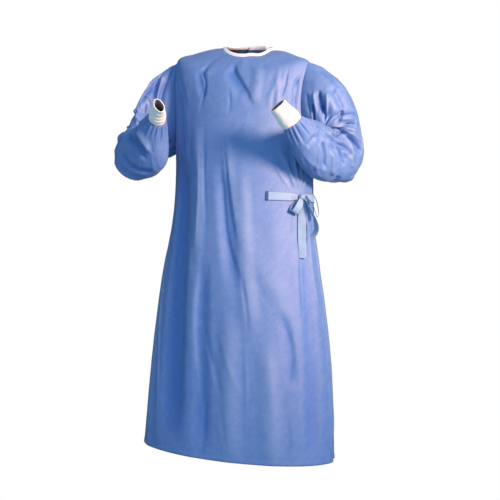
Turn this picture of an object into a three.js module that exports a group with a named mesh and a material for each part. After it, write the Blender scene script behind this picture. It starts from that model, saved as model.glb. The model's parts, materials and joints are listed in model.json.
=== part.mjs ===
import * as THREE from 'three';

// A wrap-over surgical gown, worn, with its arms bent forward.
// Millimetres. +Z is up, the front faces -Y, and +X is the wearer's left.
// The origin is the middle of the neck opening, level with the sides of the neck.

// Cloth, seams and strips
const WALL = 1.6;
const SEAM_GAP = 0.34;
const SEAM_WALL = 1.15 * WALL;
const FLAP_TUCK = 6.5;
const TUCK_START = 14;
const TUCK_RUN = 12;

// Neck binding
const BINDING_HEIGHT = 11;
const BINDING_WALL = 3;
const BINDING_GAP = 0.9;
const BINDING_LEAN = 0.45;
const BINDING_STEPS = 44;

// Hook-and-loop patch between the two backs
const PATCH_ROWS = { top: 0.25, bottom: 0.65 };
const PATCH_HALF_TURN = 10;
const PATCH_DEPTH = 2.2;
const PATCH_WALL = 1.1;

// Belt, knot and bow
const BELT_HEIGHT = -443;
const BELT_WIDTH = 24.5;
const BELT_WALL = 1.6;
const BELT_LIFT = 0.9;
const BELT_FRONT_START = 37;
const BELT_FRONT_END = 58;
const BELT_BACK_START = 112;
const BELT_BACK_END = 79;
const BELT_FLAT_FROM = 25;
const BELT_FLAT_TO = 125;
const BELT_FLAT_FADE = 10;
const BELT_FLAT_HALF = 34;
const TACK_TURN = 1.8;
const TACK_GAP_TURN = 0.15;
const TACK_STAND_OUT = 2;
const TACK_WALL = 2.4;
const KNOT_ANGLE = 68;
const KNOT_OUT = 12.2;
const KNOT_HALF = { right: 11, near: 11, up: 9.5 };
const KNOT_GAP = 0.45;
const BELT_BACK_MEETS = { along: 0.8, out: -0.62 };
const NARROWING_WIDTH = 20;
const PINCHED_WIDTH = 15;
const VIEW_TURN = 26;
const FRONT_LEAN = 0.36;
const SHORT_TAIL_TURN = 0.55;

// Armholes and backs
const FRONT_SCOOP = 20;
const BACK_SCOOP = 18;
const SCOOP_POWER = 0.6;
const SHOULDER_ROW = 3;
const ARMPIT_ROW = 7;
const BELT_ROW = 8;
const HEM_ROW = 13;
const ARMHOLE_STEPS = 7;
const SLEEVE_SPLIT = 3;
const BACK_EDGES = [
  { row: 0, under: 205, over: 195 },
  { row: 3, under: 207, over: 206 },
  { row: 7, under: 212, over: 236 },
  { row: 8, under: 214, over: 254 },
  { row: 13, under: 216, over: 257 },
];

// Rings of the body from the neck to the hem. At the sides a ring passes y and z of side,
// at the middle of the front and back it passes those of front and back.
const BODY_RINGS = [
  { half: 88, shift: 0, slope: -0.085, sideY: 0, sideZ: -2, frontY: -77, frontZ: -38, backY: 64, backZ: 10 },
  { half: 122, shift: -4, slope: -0.075, sideY: -8, sideZ: -8, frontY: -89, frontZ: -57, backY: 73, backZ: -8 },
  { half: 167, shift: -10, slope: -0.066, sideY: -16, sideZ: -22, frontY: -103, frontZ: -78, backY: 85, backZ: -35 },
  { half: 212, shift: -16, slope: -0.058, sideY: -24, sideZ: -40, frontY: -119, frontZ: -102, backY: 98, backZ: -70 },
  { half: 219, shift: -15, slope: -0.045, sideY: -26, sideZ: -98, frontY: -134, frontZ: -140, backY: 108, backZ: -118 },
  { half: 219, shift: -11, slope: -0.03, sideY: -25, sideZ: -166, frontY: -144, frontZ: -188, backY: 114, backZ: -178 },
  { half: 218, shift: -7, slope: -0.015, sideY: -22, sideZ: -234, frontY: -150, frontZ: -242, backY: 115, backZ: -238 },
  { half: 219, shift: -4, slope: 0, sideY: -20, sideZ: -302, frontY: -154, frontZ: -302, backY: 112, backZ: -302 },
  { half: 219, shift: 1, slope: 0, sideY: -24, sideZ: -443, frontY: -157, frontZ: -443, backY: 105, backZ: -443 },
  { half: 234, shift: 4, slope: 0, sideY: -26, sideZ: -600, frontY: -172, frontZ: -600, backY: 116, backZ: -600 },
  { half: 257, shift: 8, slope: 0, sideY: -28, sideZ: -745, frontY: -186, frontZ: -745, backY: 128, backZ: -745 },
  { half: 277, shift: 12, slope: 0, sideY: -30, sideZ: -893, frontY: -196, frontZ: -893, backY: 138, backZ: -893 },
  { half: 291, shift: 13, slope: 0, sideY: -30, sideZ: -1038, frontY: -202, frontZ: -1038, backY: 145, backZ: -1038 },
  { half: 301, shift: 13, slope: 0, sideY: -30, sideZ: -1184, frontY: -207, frontZ: -1184, backY: 150, backZ: -1184 },
];

// Folds of the body, each from one place to another, given as an angle round the body
// from the middle of the front, + to the wearer's left, and a height.
const BODY_FOLDS = [
  { name: 'neck valley', from: [-30, -55], to: [-18, -165], width: 24, lift: -6 },
  { name: 'chest trough', from: [-4, -60], to: [16, -165], width: 28, lift: -6 },
  { name: 'chest ridge', from: [27, -60], to: [24, -190], width: 30, lift: 5 },
  { name: 'left chest trough', from: [66, -95], to: [60, -200], width: 22, lift: -6 },
  { name: 'left chest ridge', from: [45, -100], to: [44, -210], width: 20, lift: 5 },
  { name: 'right chest trough', from: [-52, -120], to: [-40, -330], width: 34, lift: -7 },
  { name: 'right middle ridge', from: [-26, -220], to: [-18, -650], width: 36, lift: 6 },
  { name: 'middle trough', from: [-1, -360], to: [12, -730], width: 34, lift: -6 },
  { name: 'middle ridge', from: [14, -330], to: [24, -860], width: 38, lift: 7 },
  { name: 'right trough', from: [-44, -300], to: [-27, -1215], width: 62, lift: -17 },
  { name: 'right ridge', from: [-66, -520], to: [-52, -1215], width: 40, lift: 10 },
  { name: 'lower trough', from: [-13, -600], to: [-4, -1215], width: 36, lift: -9 },
  { name: 'lower ridge', from: [9, -760], to: [12, -1215], width: 38, lift: 7 },
  { name: 'left diagonal', from: [46, -760], to: [50, -980], width: 30, lift: -7 },
  { name: 'left ridge', from: [33, -840], to: [37, -1215], width: 40, lift: 9 },
  { name: 'left side trough', from: [70, -560], to: [64, -1215], width: 46, lift: -10 },
  { name: 'knot gather 1', from: [64, -425], to: [45, -300], width: 15, lift: 6 },
  { name: 'knot gather 2', from: [67, -425], to: [57, -290], width: 14, lift: 7 },
  { name: 'knot gather 3', from: [70, -425], to: [68, -300], width: 13, lift: 7 },
  { name: 'knot gather 4', from: [73, -425], to: [80, -310], width: 14, lift: 6 },
  { name: 'side fold', from: [98, -470], to: [92, -1215], width: 44, lift: 9 },
  { name: 'left back trough', from: [122, -480], to: [120, -1215], width: 52, lift: -11 },
  { name: 'left back ridge', from: [146, -330], to: [143, -1215], width: 46, lift: 9 },
  { name: 'back trough', from: [172, -240], to: [168, -1215], width: 54, lift: -10 },
  { name: 'back ridge', from: [196, -300], to: [192, -1215], width: 48, lift: 9 },
  { name: 'right back trough', from: [216, -220], to: [214, -1215], width: 50, lift: -10 },
  { name: 'right back ridge', from: [238, -420], to: [236, -1215], width: 44, lift: 9 },
  { name: 'right side trough', from: [262, -480], to: [258, -1215], width: 44, lift: -8 },
  { name: 'shoulder blade pull', from: [150, -90], to: [158, -300], width: 30, lift: -6 },
  { name: 'right blade pull', from: [214, -80], to: [222, -220], width: 30, lift: 5 },
];
const FOLD_MM_PER_DEGREE = 4.3;
const FOLD_END = 0.22;
const PLAIN_NECK_ROWS = 0.8;

// The neckline sags to the left of its middle, about an angle and over a number of rings.
const NECK_SAG = { turn: 45, width: 27, depth: 7, rows: 1.3 };

// Sections of each sleeve from the armhole to the wrist: the middle, and the reach from
// it to the outer side of the arm and to the front of the arm.
const SLEEVE_SECTIONS = {
  left: [
    { middle: [196, -23, -178], side: [0, -2, 125], front: [2, -57, 0] },
    { middle: [228, -18, -185], side: [7, 3, 117], front: [6, -66, 0] },
    { middle: [255, -9, -206], side: [28, 8, 102], front: [10, -74, 8] },
    { middle: [272, -1, -229], side: [39, 12, 84], front: [12, -76, 18] },
    { middle: [287, 6, -260], side: [48, 12, 58], front: [4, -72, 34] },
    { middle: [290, 10, -290], side: [48, 6, 30], front: [-28, -62, 44] },
    { middle: [283, 0, -312], side: [46, -3, 22], front: [-30, -48, 66] },
    { middle: [269, -34, -320], side: [46, -6, 20], front: [-18, -22, 74] },
    { middle: [257, -76, -314], side: [46, -6, 18], front: [-8, 8, 70] },
    { middle: [248, -124, -294], side: [44, -5, 16], front: [-5, 14, 62] },
    { middle: [243, -171, -274], side: [37, -4, 12], front: [-3, 12, 42] },
    { middle: [238, -218, -250], side: [27, -6, 13.6], front: [-3, 21, 15.5] },
  ],
  right: [
    { middle: [-216, -23, -170], side: [0, -2, 132], front: [-2, -57, 0] },
    { middle: [-243, -27, -180], side: [-15, -7, 124], front: [-12, -64, -2] },
    { middle: [-259, -43, -196], side: [-27, -14, 112], front: [-14, -66, 0] },
    { middle: [-268, -60, -222], side: [-33, -22, 88], front: [-10, -68, 14] },
    { middle: [-277, -84, -256], side: [-38, -30, 58], front: [4, -64, 34] },
    { middle: [-287, -118, -292], side: [-46, -34, 34], front: [38, -38, 38] },
    { middle: [-293, -140, -313], side: [-44, -36, 34], front: [48, -18, 50] },
    { middle: [-277, -172, -326], side: [-44, -38, 38], front: [36, 10, 62] },
    { middle: [-238, -198, -326], side: [-46, -34, 36], front: [12, 22, 60] },
    { middle: [-196, -229, -304], side: [-42, -29, 34], front: [0, 20, 54] },
    { middle: [-166, -264, -267], side: [-31, -18, 21], front: [4, 19, 36] },
    { middle: [-141, -291, -241], side: [-21.6, -8.9, 8.8], front: [-1.1, 13.5, 19.8] },
  ],
};
const SLEEVE_STOPS = [0, 0.4, 1, 1.7, 2.4, 3.1, 3.8, 4.4, 5, 5.6, 6.2, 6.8, 7.5, 8.4, 9.3, 10.1, 10.6, 11];
const ARMHOLE_FADE = 2.2;

// Folds of each sleeve, from one place to another, given as an angle round the sleeve from
// its outer side, + to the front, and a place along the sections.
const SLEEVE_FOLDS = {
  left: [
    { name: 'crown pleat 1', from: [86, 1.2], to: [96, 3.9], width: 15, lift: -7 },
    { name: 'crown pleat 2', from: [66, 1.4], to: [78, 3.9], width: 15, lift: 7 },
    { name: 'crown pleat 3', from: [48, 1.8], to: [62, 4.1], width: 15, lift: -7 },
    { name: 'elbow fold 1', from: [74, 4.6], to: [6, 4.3], width: 15, lift: -8 },
    { name: 'elbow fold 2', from: [74, 5.1], to: [0, 4.9], width: 15, lift: 8 },
    { name: 'elbow fold 3', from: [74, 5.6], to: [-30, 5.7], width: 15, lift: -8 },
    { name: 'elbow fold 4', from: [76, 6.2], to: [-40, 6.3], width: 16, lift: 8 },
    { name: 'elbow fold 5', from: [78, 6.8], to: [-40, 7.0], width: 16, lift: -8 },
    { name: 'forearm fold', from: [82, 7.4], to: [10, 8.4], width: 20, lift: 7 },
    { name: 'wrist fold', from: [60, 9.0], to: [-30, 9.4], width: 18, lift: -6 },
    { name: 'inner elbow fold 1', from: [104, 5.0], to: [170, 5.2], width: 18, lift: -7 },
    { name: 'inner elbow fold 2', from: [104, 6.2], to: [170, 6.4], width: 18, lift: 7 },
    { name: 'back of the arm', from: [-60, 1.6], to: [-75, 4.2], width: 22, lift: -6 },
  ],
  right: [
    { name: 'crown pleat 1', from: [60, 0.6], to: [40, 3.4], width: 20, lift: -8 },
    { name: 'crown pleat 2', from: [82, 0.9], to: [64, 3.8], width: 18, lift: 7 },
    { name: 'crown pleat 3', from: [104, 1.0], to: [96, 3.8], width: 18, lift: -8 },
    { name: 'elbow fold 1', from: [70, 4.4], to: [-6, 4.2], width: 16, lift: 7 },
    { name: 'elbow fold 2', from: [72, 5.0], to: [-10, 5.2], width: 16, lift: -8 },
    { name: 'elbow fold 3', from: [74, 5.7], to: [-20, 6.0], width: 16, lift: 8 },
    { name: 'elbow fold 4', from: [76, 6.4], to: [-30, 6.8], width: 18, lift: -9 },
    { name: 'forearm fold', from: [84, 7.2], to: [0, 8.0], width: 20, lift: 8 },
    { name: 'wrist fold', from: [70, 8.9], to: [-40, 9.2], width: 18, lift: -6 },
    { name: 'inner elbow fold', from: [106, 5.6], to: [176, 6.0], width: 20, lift: -7 },
    { name: 'back of the arm', from: [-60, 1.6], to: [-75, 4.2], width: 22, lift: -6 },
  ],
};
const SLEEVE_MM_PER_DEGREE = 1.2;
const SLEEVE_MM_PER_SECTION = 40;
const GATHERS = 14;
const GATHER_LIFT = 3.2;
const GATHER_START = 8.9;
const GATHER_RISE = 1.2;
const GATHER_SEAM_LIFT = 0.35;

// Cuffs
const CUFF_COLUMNS = 24;
const CUFF_WALL = 2.2;
const CUFF_RINGS = {
  left: { heading: [-0.47, -0.57, 0.68], length: 63, narrow: [0.611, -0.761, -0.218] },
  right: { heading: [0.5, -0.7, 0.51], length: 62, narrow: [0.686, 0.679, 0.262] },
};

// Profile of each cuff: its size along it, and how far it is flattened across its narrow way.
const CUFF_PROFILE = {
  left: [
    { along: 0, size: 0.95, flat: 1 },
    { along: 0.12, size: 0.99, flat: 1 },
    { along: 0.3, size: 1.01, flat: 1 },
    { along: 0.5, size: 0.93, flat: 0.97 },
    { along: 0.72, size: 0.85, flat: 0.94 },
    { along: 1, size: 0.8, flat: 0.9 },
  ],
  right: [
    { along: 0, size: 0.95, flat: 1 },
    { along: 0.12, size: 0.98, flat: 0.99 },
    { along: 0.3, size: 1, flat: 0.96 },
    { along: 0.5, size: 0.97, flat: 0.88 },
    { along: 0.72, size: 0.93, flat: 0.75 },
    { along: 1, size: 0.9, flat: 0.64 },
  ],
};

// Materials
const BLUE = new THREE.MeshStandardMaterial({ color: 0x6f8ccb, roughness: 0.75, metalness: 0 });
const PALE_BLUE = new THREE.MeshStandardMaterial({ color: 0xaebfe3, roughness: 0.75, metalness: 0 });
const WHITE_KNIT = new THREE.MeshStandardMaterial({ color: 0xf0f1f3, roughness: 0.9, metalness: 0 });
const WHITE_TAPE = new THREE.MeshStandardMaterial({ color: 0xe6eaf2, roughness: 0.8, metalness: 0 });

const vector = ([x, y, z]) => new THREE.Vector3(x, y, z);
const radians = THREE.MathUtils.degToRad;
const smooth = (t) => THREE.MathUtils.smoothstep(t, 0, 1);
const steps = (from, to, count) =>
  Array.from({ length: count + 1 }, (_, i) => from + ((to - from) * i) / count);
const moved = (point, direction, distance) => point.clone().addScaledVector(direction, distance);

// A number between the rows of a table, on a smooth curve through them.
function curve(a, b, c, d, t) {
  return b + 0.5 * t * (c - a + t * (2 * a - 5 * b + 4 * c - d + t * (3 * (b - c) + d - a)));
}

function blendedRow(table, place) {
  const last = table.length - 1;
  const start = Math.min(Math.floor(place), last - 1);
  const near = [-1, 0, 1, 2].map((k) => table[THREE.MathUtils.clamp(start + k, 0, last)]);
  const row = {};
  for (const key of Object.keys(near[1])) {
    const values = near.map((entry) => entry[key]);
    row[key] = Array.isArray(values[0])
      ? values[0].map((_, axis) => curve(...values.map((value) => value[axis]), place - start))
      : curve(...values, place - start);
  }
  return row;
}

// How far the folds of a table lift a point of the unrolled cloth.
function foldLift(folds, place, scale, wrap) {
  let lift = 0;
  for (const fold of folds) {
    const run = [0, 1].map((k) => (fold.to[k] - fold.from[k]) * scale[k]);
    const reach = [0, 1].map((k) => place[k] - fold.from[k]);
    reach[0] -= wrap * Math.round((reach[0] - (fold.to[0] - fold.from[0]) / 2) / wrap);
    reach[0] *= scale[0];
    reach[1] *= scale[1];
    const length = Math.hypot(...run);
    const along = (reach[0] * run[0] + reach[1] * run[1]) / (length * length);
    const off = Math.abs(reach[0] * run[1] - reach[1] * run[0]) / length;
    if (along <= 0 || along >= 1 || off >= fold.width) continue;
    const ends = smooth(along / FOLD_END) * smooth((1 - along) / FOLD_END);
    lift += fold.lift * ends * 0.5 * (1 + Math.cos((Math.PI * off) / fold.width));
  }
  return lift;
}

// The body without folds, at a row of the rings and an angle round them.
function neckSag(row, degrees) {
  const off = Math.min(1, Math.abs(degrees - NECK_SAG.turn) / NECK_SAG.width);
  return NECK_SAG.depth * 0.5 * (1 + Math.cos(Math.PI * off)) * smooth(1 - row / NECK_SAG.rows);
}

function plainBody(row, degrees) {
  const ring = blendedRow(BODY_RINGS, row);
  const across = Math.sin(radians(degrees));
  const toward = Math.cos(radians(degrees));
  const endY = toward > 0 ? ring.frontY : ring.backY;
  const endZ = toward > 0 ? ring.frontZ : ring.backZ;
  const x = ring.half * across;
  return new THREE.Vector3(
    x + ring.shift,
    ring.sideY + (endY - ring.sideY) * Math.abs(toward),
    ring.sideZ * across ** 2 + endZ * toward ** 2 + ring.slope * x - neckSag(row, degrees),
  );
}

function bodyNormal(row, degrees) {
  const rowStep = 0.02;
  const turnStep = 0.5;
  const low = plainBody(Math.min(row + rowStep, HEM_ROW), degrees);
  const high = plainBody(Math.max(row - rowStep, 0), degrees);
  const ahead = plainBody(row, degrees + turnStep);
  const behind = plainBody(row, degrees - turnStep);
  return ahead.sub(behind).cross(high.sub(low)).normalize();
}

function beltPress(degrees, height) {
  const turn = THREE.MathUtils.euclideanModulo(degrees, 360);
  const underBelt = smooth((turn - BELT_FLAT_FROM) / BELT_FLAT_FADE)
    * smooth((BELT_FLAT_TO - turn) / BELT_FLAT_FADE);
  const level = 1 - smooth(Math.abs(height - BELT_HEIGHT) / BELT_FLAT_HALF);
  return 1 - underBelt * level;
}

function bodyPoint(row, degrees) {
  const point = plainBody(row, degrees);
  const lift = foldLift(BODY_FOLDS, [degrees, point.z], [FOLD_MM_PER_DEGREE, 1], 360);
  const neck = smooth(row / PLAIN_NECK_ROWS);
  return moved(point, bodyNormal(row, degrees), lift * beltPress(degrees, point.z) * neck);
}

// Edges of the panels, as angles round the body.
function armholeTurn(row, scoop) {
  const down = (row - SHOULDER_ROW) / (ARMPIT_ROW - SHOULDER_ROW);
  if (down <= 0 || down >= 1) return 90;
  return 90 - scoop * Math.sin(Math.PI * down) ** SCOOP_POWER;
}

function backEdge(row, key) {
  const below = Math.max(1, BACK_EDGES.findIndex((edge) => edge.row >= row));
  const [a, b] = [BACK_EDGES[below - 1], BACK_EDGES[below]];
  return a[key] + (b[key] - a[key]) * smooth((row - a.row) / (b.row - a.row));
}

function tuckedIn(row, degrees) {
  const start = 360 - backEdge(row, 'over') - TUCK_START;
  return FLAP_TUCK * smooth((degrees - start) / TUCK_RUN);
}

function underBody(row, degrees) {
  return moved(bodyPoint(row, degrees), bodyNormal(row, degrees), -tuckedIn(row, degrees));
}

const BODY_ROWS = [
  ...steps(0, SHOULDER_ROW, 4),
  ...steps(SHOULDER_ROW, ARMPIT_ROW, ARMHOLE_STEPS).slice(1),
  ...steps(ARMPIT_ROW, BELT_ROW, 4).slice(1),
  ...steps(BELT_ROW, HEM_ROW, 14).slice(1),
];
const inArmhole = (row) => row >= SHOULDER_ROW && row <= ARMPIT_ROW;

// Unit directions out of a tube of cloth, from the points of its grid.
function gridNormals(grid, round, clockwise) {
  const columns = grid[0].length;
  return grid.map((line, i) => line.map((_, j) => {
    const down = grid[Math.min(i + 1, grid.length - 1)][j].clone()
      .sub(grid[Math.max(i - 1, 0)][j]);
    const next = round ? (j + 1) % columns : Math.min(j + 1, columns - 1);
    const previous = round ? (j + columns - 1) % columns : Math.max(j - 1, 0);
    const normal = line[next].clone().sub(line[previous]).cross(down).normalize();
    return clockwise ? normal.negate() : normal;
  }));
}

// A closed solid from triangles, turned so that its faces point out.
function solid(points, triangles) {
  let volume = 0;
  for (const [a, b, c] of triangles) {
    volume += points[a].dot(points[b].clone().cross(points[c]));
  }
  const facing = volume < 0 ? triangles.map(([a, b, c]) => [a, c, b]) : triangles;
  const geometry = new THREE.BufferGeometry();
  const numbers = points.flatMap((point) => point.toArray());
  geometry.setAttribute('position', new THREE.Float32BufferAttribute(numbers, 3));
  geometry.setIndex(facing.flat());
  geometry.computeVertexNormals();
  return geometry;
}

// A cloth wall between two grids of points, open, or closed round its columns.
function clothWall(outer, inner, round = false) {
  const rows = outer.length;
  const columns = outer[0].length;
  const points = [...outer.flat(), ...inner.flat()];
  const at = (side, i, j) => side * rows * columns + i * columns + (j % columns);
  const triangles = [];
  const quad = (a, b, c, d) => triangles.push([a, b, c], [a, c, d]);
  const spans = round ? columns : columns - 1;
  for (let j = 0; j < spans; j += 1) {
    for (let i = 0; i < rows - 1; i += 1) {
      quad(at(0, i, j), at(0, i + 1, j), at(0, i + 1, j + 1), at(0, i, j + 1));
      quad(at(1, i, j), at(1, i, j + 1), at(1, i + 1, j + 1), at(1, i + 1, j));
    }
    quad(at(0, 0, j), at(0, 0, j + 1), at(1, 0, j + 1), at(1, 0, j));
    quad(at(0, rows - 1, j), at(1, rows - 1, j), at(1, rows - 1, j + 1), at(0, rows - 1, j + 1));
  }
  if (!round) {
    const end = columns - 1;
    for (let i = 0; i < rows - 1; i += 1) {
      quad(at(0, i, 0), at(1, i, 0), at(1, i + 1, 0), at(0, i + 1, 0));
      quad(at(0, i, end), at(0, i + 1, end), at(1, i + 1, end), at(1, i, end));
    }
  }
  return solid(points, triangles);
}

// Directions out of a sleeve, kept square to the cuff in the ring that meets it.
function sleeveNormals(side, grid) {
  const normals = gridNormals(grid, true, side === 'right');
  const heading = vector(CUFF_RINGS[side].heading).normalize();
  for (const normal of normals[normals.length - 1]) {
    normal.addScaledVector(heading, -normal.dot(heading)).normalize();
  }
  return normals;
}

// Points of a sleeve. Its first ring is the edge of the armhole, which fades into the sections.
function sleeveSection(side, place, degrees) {
  const section = blendedRow(SLEEVE_SECTIONS[side], place);
  return vector(section.middle)
    .addScaledVector(vector(section.side), Math.cos(radians(degrees)))
    .addScaledVector(vector(section.front), Math.sin(radians(degrees)));
}

function armholeLoop(side) {
  const sign = side === 'left' ? 1 : -1;
  const rows = steps(SHOULDER_ROW, ARMPIT_ROW, ARMHOLE_STEPS);
  const front = rows.map((row) => [row, armholeTurn(row, FRONT_SCOOP)]);
  const back = rows.map((row) => [row, 180 - armholeTurn(row, BACK_SCOOP)]).reverse();
  return [...front.slice(0, -1), ...back.slice(0, -1)].map(([row, turn]) => ({
    row,
    turn: sign * turn,
    outer: bodyPoint(row, sign * turn),
    normal: bodyNormal(row, sign * turn),
  }));
}

function betweenLoop(loop, key, column) {
  const index = Math.floor(column / SLEEVE_SPLIT);
  const next = (index + 1) % loop.length;
  return loop[index][key].clone().lerp(loop[next][key], (column % SLEEVE_SPLIT) / SLEEVE_SPLIT);
}

function sleeveGrid(side, loop) {
  const columns = loop.length * SLEEVE_SPLIT;
  const turns = steps(0, 360, columns).slice(0, -1);
  const plain = SLEEVE_STOPS.map((place) => turns.map((degrees, j) => {
    const point = sleeveSection(side, place, degrees);
    const rest = Math.max(0, 1 - place / ARMHOLE_FADE) ** 2;
    const offset = betweenLoop(loop, 'outer', j).sub(sleeveSection(side, 0, degrees));
    return point.addScaledVector(offset, rest);
  }));
  const normals = sleeveNormals(side, plain);
  const last = SLEEVE_STOPS.length - 1;
  return plain.map((line, i) => line.map((point, j) => {
    const place = SLEEVE_STOPS[i];
    const scale = [SLEEVE_MM_PER_DEGREE, SLEEVE_MM_PER_SECTION];
    const folds = foldLift(SLEEVE_FOLDS[side], [turns[j], place], scale, 360);
    const wave = Math.sin((2 * Math.PI * GATHERS * j) / columns);
    const gather = smooth((place - GATHER_START) / GATHER_RISE) * (i === last ? GATHER_SEAM_LIFT : 1);
    const lift = i === 0 ? 0 : folds * smooth(place) + GATHER_LIFT * gather * wave;
    return moved(point, normals[i][j], lift);
  }));
}

// The sleeve's wall, its seam edge, and the armhole edge that the panels share with it.
function sleeveParts(side) {
  const loop = armholeLoop(side);
  const outer = sleeveGrid(side, loop);
  const normals = sleeveNormals(side, outer);
  loop.forEach((edge, index) => {
    const across = edge.normal.clone().add(normals[0][index * SLEEVE_SPLIT]).normalize();
    edge.inner = moved(edge.outer, across, -SEAM_WALL);
  });
  const inner = outer.map((line, i) => line.map((point, j) =>
    (i === 0 ? betweenLoop(loop, 'inner', j) : moved(point, normals[i][j], -WALL))));
  outer[0].forEach((point, j) => {
    const away = outer[1][j].clone().sub(point).normalize().multiplyScalar(SEAM_GAP);
    point.add(away);
    inner[0][j].add(away);
  });
  return { geometry: clothWall(outer, inner, true), loop };
}

// A panel of the body. Its columns are shares of the way from one edge to the other.
function panelGrids(shares, edgeA, edgeB, surface, loops) {
  const outer = BODY_ROWS.map((row) => shares.map((share) =>
    surface(row, edgeA(row) + (edgeB(row) - edgeA(row)) * share)));
  const inner = BODY_ROWS.map((row, i) => shares.map((share, j) => {
    const turn = edgeA(row) + (edgeB(row) - edgeA(row)) * share;
    const edge = inArmhole(row) && (j === 0 || j === shares.length - 1)
      ? loops.flat().find((place) => Math.abs(place.row - row) < 1e-6
        && Math.abs(place.turn - turn) < 1e-6)
      : undefined;
    return edge ? edge.inner.clone() : moved(outer[i][j], panelNormal(outer, i, j, row, turn), -WALL);
  }));
  return { outer, inner };
}

// Along a seam the cloth's direction is that of the plain body, which both pieces share.
function panelNormal(grid, i, j, row, turn) {
  const plain = bodyNormal(row, turn);
  if (i === 0 || j === 0 || j === grid[0].length - 1) return plain;
  const along = grid[i][j + 1].clone().sub(grid[i][j - 1]);
  const up = grid[i - 1][j].clone().sub(grid[Math.min(i + 1, grid.length - 1)][j]);
  const normal = along.cross(up).normalize();
  return normal.dot(plain) < 0 ? normal.negate() : normal;
}

function pullBack(grids, column, neighbour) {
  grids.outer.forEach((line, i) => {
    const away = line[neighbour].clone().sub(line[column]).setLength(SEAM_GAP / 2);
    line[column].add(away);
    grids.inner[i][column].add(away);
  });
}

const left = sleeveParts('left');
const right = sleeveParts('right');
const loops = [left.loop, right.loop];
const frontTurn = (row) => armholeTurn(row, FRONT_SCOOP);
const backTurn = (row) => 180 - armholeTurn(row, BACK_SCOOP);

const frontShares = [...steps(0, 0.7, 19), ...steps(0.7, 1, 13).slice(1)];
const front = panelGrids(frontShares, (row) => -frontTurn(row), frontTurn, bodyPoint, loops);
pullBack(front, 0, 1);
pullBack(front, frontShares.length - 1, frontShares.length - 2);

const underShares = steps(0, 1, 15);
const under = panelGrids(underShares, backTurn, (row) => backEdge(row, 'under'), underBody, loops);
pullBack(under, 0, 1);

const overShares = steps(0, 1, 20);
const over = panelGrids(
  overShares, (row) => -backTurn(row), (row) => -backEdge(row, 'over'), bodyPoint, loops);
pullBack(over, 0, 1);

// The neck binding stands on the edge of the neck, and its ends lap at the back.
function neckBinding() {
  const half = BINDING_WALL / 2;
  const outer = [[], []];
  const inner = [[], []];
  for (const turn of steps(-backEdge(0, 'over'), backEdge(0, 'under'), BINDING_STEPS)) {
    const normal = bodyNormal(0, turn);
    const edge = turn > 0 ? underBody(0, turn) : bodyPoint(0, turn);
    const up = plainBody(0, turn).sub(plainBody(0.1, turn)).normalize();
    up.z += BINDING_LEAN;
    up.normalize();
    const out = normal.clone().addScaledVector(up, -normal.dot(up)).normalize();
    const base = moved(edge, normal, -WALL / 2);
    [BINDING_GAP + BINDING_HEIGHT, BINDING_GAP].forEach((height, k) => {
      const middle = moved(base, up, height);
      outer[k].push(moved(middle, out, half));
      inner[k].push(moved(middle, out, -half));
    });
  }
  return clothWall(outer, inner);
}

// A flat patch between the two backs, just under the neck.
function neckPatch() {
  const rows = steps(PATCH_ROWS.top, PATCH_ROWS.bottom, 2);
  const turns = steps(180 - PATCH_HALF_TURN, 180 + PATCH_HALF_TURN, 4);
  const layer = (depth) => rows.map((row) => turns.map((turn) =>
    moved(bodyPoint(row, turn), bodyNormal(row, turn), -depth)));
  return clothWall(layer(PATCH_DEPTH), layer(PATCH_DEPTH + PATCH_WALL));
}

function cuff(side) {
  const sections = SLEEVE_SECTIONS[side];
  const wrist = sections[sections.length - 1];
  const heading = vector(CUFF_RINGS[side].heading).normalize();
  const flat = (reach) => vector(reach).addScaledVector(heading, -vector(reach).dot(heading));
  const across = flat(wrist.side);
  const upward = flat(wrist.front);
  const narrow = vector(CUFF_RINGS[side].narrow).normalize();
  const turns = steps(0, 360, CUFF_COLUMNS).slice(0, -1);
  const seam = moved(vector(wrist.middle), heading, SEAM_GAP);
  const ring = (row, thinner) => turns.map((turn) => {
    const reach = across.clone().multiplyScalar(Math.cos(radians(turn)))
      .addScaledVector(upward, Math.sin(radians(turn)));
    reach.addScaledVector(narrow, (row.flat - 1) * reach.dot(narrow));
    reach.setLength(reach.length() * row.size - thinner);
    return moved(seam, heading, row.along * CUFF_RINGS[side].length).add(reach);
  });
  const outer = CUFF_PROFILE[side].map((row) => ring(row, 0));
  const inner = CUFF_PROFILE[side].map((row) => ring(row, CUFF_WALL));
  return clothWall(outer, inner, true);
}

// A strip along a line of points, each with its width and the direction of its width.
function strip(places, wall) {
  const lines = places.map((place, i) => {
    const before = places[Math.max(i - 1, 0)].point;
    const after = places[Math.min(i + 1, places.length - 1)].point;
    const across = place.across.clone().normalize();
    const out = after.clone().sub(before).cross(across).normalize().multiplyScalar(wall / 2);
    return [-1, 1].map((face) => [-1, 1].map((edge) =>
      moved(place.point, across, (edge * place.width) / 2).addScaledVector(out, face)));
  });
  return clothWall(lines.map((line) => line[0]), lines.map((line) => line[1]));
}

// The body's surface at the belt, flattened by it.
function beltBase(turn, height, lift) {
  const rise = height - BELT_HEIGHT;
  const neighbour = BODY_RINGS[rise > 0 ? ARMPIT_ROW : BELT_ROW + 1];
  const row = BELT_ROW - rise / Math.abs(neighbour.sideZ - BODY_RINGS[BELT_ROW].sideZ);
  return moved(bodyPoint(row, turn), bodyNormal(row, turn), lift);
}

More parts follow.
